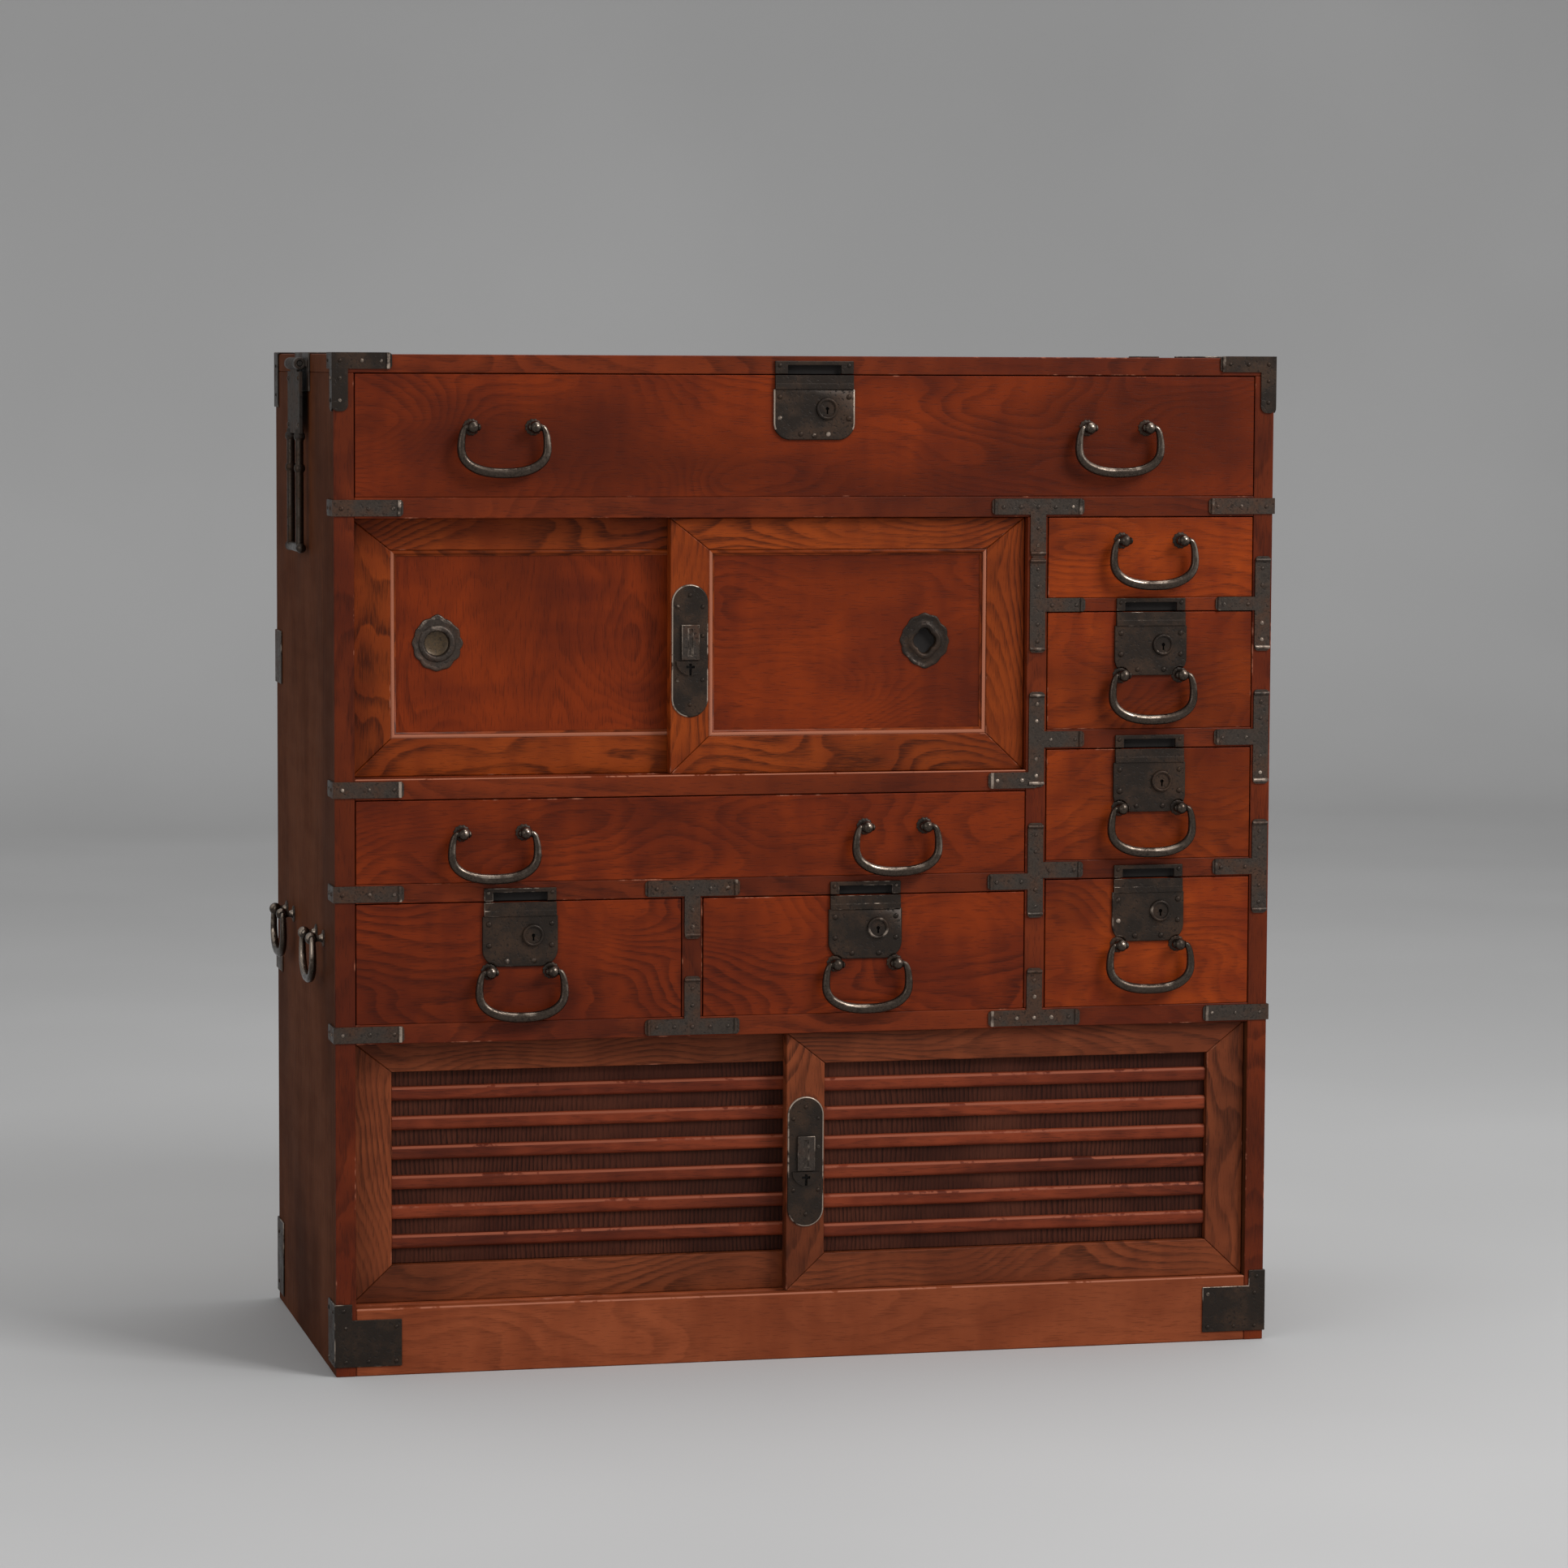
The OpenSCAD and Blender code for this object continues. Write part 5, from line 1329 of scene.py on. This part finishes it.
def add_floor(tone):
    """A pale floor that turns up into a backdrop."""
    front, side, height = -9.0, 14.0, 9.0
    reach, bend, steps = 5.2, 1.6, 16
    profile = [(front, 0.0), (reach, 0.0)]
    for i in range(1, steps + 1):
        angle = math.pi / 2 * i / steps
        profile.append((reach + bend * math.sin(angle), bend * (1 - math.cos(angle))))
    profile.append((reach + bend, height))
    bm = bmesh.new()
    rows = [[bm.verts.new((x, y, z)) for x in (-side, side)] for y, z in profile]
    for a, b in zip(rows, rows[1:]):
        bm.faces.new((a[0], a[1], b[1], b[0]))
    mesh = bpy.data.meshes.new("studio_floor")
    bm.to_mesh(mesh)
    bm.free()
    mesh.polygons.foreach_set("use_smooth", [True] * len(mesh.polygons))
    material, tree, shader = start_material("Studio floor")
    cloud = speckle(tree, put(tree, "TexCoord").outputs["Object"], 0.8, 3.0, 0.5)
    low = tuple(level * 0.93 for level in tone)
    hue = tint(tree, ramp(tree, cloud, 0.35, 0.7), low, tone)
    feed_all(tree, shader, {"Base Color": hue, "Roughness": 0.8})
    line_up(tree)
    mesh.materials.append(material)
    floor = new_object("studio_floor", mesh)


def add_lights(settings):
    """A soft light from all round, and three broad lamps aimed at the chest's middle."""
    world = bpy.data.worlds.new("Soft studio")
    world.use_nodes = True
    shade = world.node_tree.nodes["Background"]
    shade.inputs["Color"].default_value = (1, 1, 1, 1)
    shade.inputs["Strength"].default_value = settings.sky
    bpy.context.scene.world = world
    for name, place, power, wide, tall in (
            ("key_light", (2.6, -3.2, 3.5), settings.key, 1.8, 1.8),
            ("fill_light", (-3.6, -3.2, 1.9), settings.fill, 2.6, 2.6),
            ("top_light", (0.4, 0.3, 3.4), settings.fill, 2.4, 1.6)):
        lamp = bpy.data.lights.new(name, "AREA")
        lamp.energy, lamp.shape, lamp.size, lamp.size_y = power, "RECTANGLE", wide, tall
        obj = new_object(name, lamp)
        obj.location = place
        aim = Vector((0, 0, 0.5)) - Vector(place)
        obj.rotation_euler = aim.to_track_quat("-Z", "Y").to_euler()


def add_camera():
    """The camera, a little to the left of the chest's middle and turned to it."""
    yaw, pitch, roll = (math.radians(angle) for angle in CAMERA_TURN)
    ahead = Vector((math.sin(yaw) * math.cos(pitch), math.cos(yaw) * math.cos(pitch),
                    -math.sin(pitch)))
    right = Vector((math.cos(yaw), -math.sin(yaw), 0))
    down = ahead.cross(right)
    across = right * math.cos(roll) + down * math.sin(roll)
    below = down * math.cos(roll) - right * math.sin(roll)
    data = bpy.data.cameras.new("chest_camera")
    data.lens, data.sensor_width = CAMERA_LENS, 36
    camera = new_object("chest_camera", data)
    turn = Matrix((across, -below, -ahead)).transposed().to_4x4()
    camera.matrix_world = Matrix.Translation(CAMERA_AT) @ turn
    bpy.context.scene.camera = camera
    bpy.context.scene.view_settings.view_transform = "Standard"


def add_stage():
    """The floor and backdrop, the lights and the camera."""
    settings = bpy.context.scene.chest_stage
    add_floor(settings.floor)
    add_lights(settings)
    add_camera()


# ---- Operators and panel ----

class ChestOperator:
    bl_options = {"REGISTER", "UNDO"}

    def execute(self, context):
        type(self).build()
        return {"FINISHED"}


class CHEST_OT_stage(ChestOperator, bpy.types.Operator):
    """Set the floor, the backdrop, the lights and the camera"""
    bl_idname, bl_label = "chest.stage", "Stage"
    build = staticmethod(add_stage)


class CHEST_OT_case(ChestOperator, bpy.types.Operator):
    """Build the side boards, the top, the bottom and the back"""
    bl_idname, bl_label = "chest.case", "Case boards"
    build = staticmethod(add_case)


class CHEST_OT_rails(ChestOperator, bpy.types.Operator):
    """Build the rails, the posts and the plinth"""
    bl_idname, bl_label = "chest.rails", "Rails and posts"
    build = staticmethod(add_rails)


class CHEST_OT_drawers(ChestOperator, bpy.types.Operator):
    """Build the drawers' fronts and boxes"""
    bl_idname, bl_label = "chest.drawers", "Drawers"
    build = staticmethod(add_drawers)


class CHEST_OT_doors(ChestOperator, bpy.types.Operator):
    """Build the panelled and the slatted sliding doors"""
    bl_idname, bl_label = "chest.doors", "Sliding doors"
    build = staticmethod(add_doors)


class CHEST_OT_straps(ChestOperator, bpy.types.Operator):
    """Build the straps, the corner plates and the strike plates with their nails"""
    bl_idname, bl_label = "chest.straps", "Straps and corner plates"
    build = staticmethod(add_straps)


class CHEST_OT_bails(ChestOperator, bpy.types.Operator):
    """Build the hanging bails"""
    bl_idname, bl_label = "chest.bails", "Bails"
    build = staticmethod(add_bails)


class CHEST_OT_locks(ChestOperator, bpy.types.Operator):
    """Build the lock plates and the posts on the drawers"""
    bl_idname, bl_label = "chest.locks", "Lock plates and posts"
    build = staticmethod(add_locks)


class CHEST_OT_door_fittings(ChestOperator, bpy.types.Operator):
    """Build the doors' finger pulls, lock plates and latches"""
    bl_idname, bl_label = "chest.door_fittings", "Door fittings"
    build = staticmethod(add_door_fittings)


class CHEST_OT_carrying_bars(ChestOperator, bpy.types.Operator):
    """Build the carrying bars and the sides' fittings"""
    bl_idname, bl_label = "chest.carrying_bars", "Carrying bars"
    build = staticmethod(add_carrying_bars)


STEPS = (CHEST_OT_stage, CHEST_OT_case, CHEST_OT_rails, CHEST_OT_drawers, CHEST_OT_doors,
         CHEST_OT_straps, CHEST_OT_bails, CHEST_OT_locks, CHEST_OT_door_fittings,
         CHEST_OT_carrying_bars)


class CHEST_PT_panel(bpy.types.Panel):
    """Sizes, colours and building steps of the chest"""
    bl_label = "Merchant's chest"
    bl_idname = "CHEST_PT_panel"
    bl_space_type = "VIEW_3D"
    bl_region_type = "UI"
    bl_category = "Chest"

    def draw(self, context):
        for title, group in (("Wood", context.scene.chest_wood),
                             ("Iron", context.scene.chest_iron),
                             ("Stage", context.scene.chest_stage)):
            box = self.layout.box()
            box.label(text=title)
            for name in group.__annotations__:
                box.prop(group, name)
        for step in STEPS:
            self.layout.operator(step.bl_idname)


CLASSES = (ChestWood, ChestIron, ChestStage, *STEPS, CHEST_PT_panel)
GROUPS = {"chest_wood": ChestWood, "chest_iron": ChestIron, "chest_stage": ChestStage}


def register():
    for cls in CLASSES:
        bpy.utils.register_class(cls)
    for name, group in GROUPS.items():
        setattr(bpy.types.Scene, name, bpy.props.PointerProperty(type=group))


def unregister():
    for name in GROUPS:
        delattr(bpy.types.Scene, name)
    for cls in reversed(CLASSES):
        bpy.utils.unregister_class(cls)


def main():
    register()
    for step in STEPS:
        area, name = step.bl_idname.split(".")
        getattr(getattr(bpy.ops, area), name)()


if __name__ == "__main__":
    main()
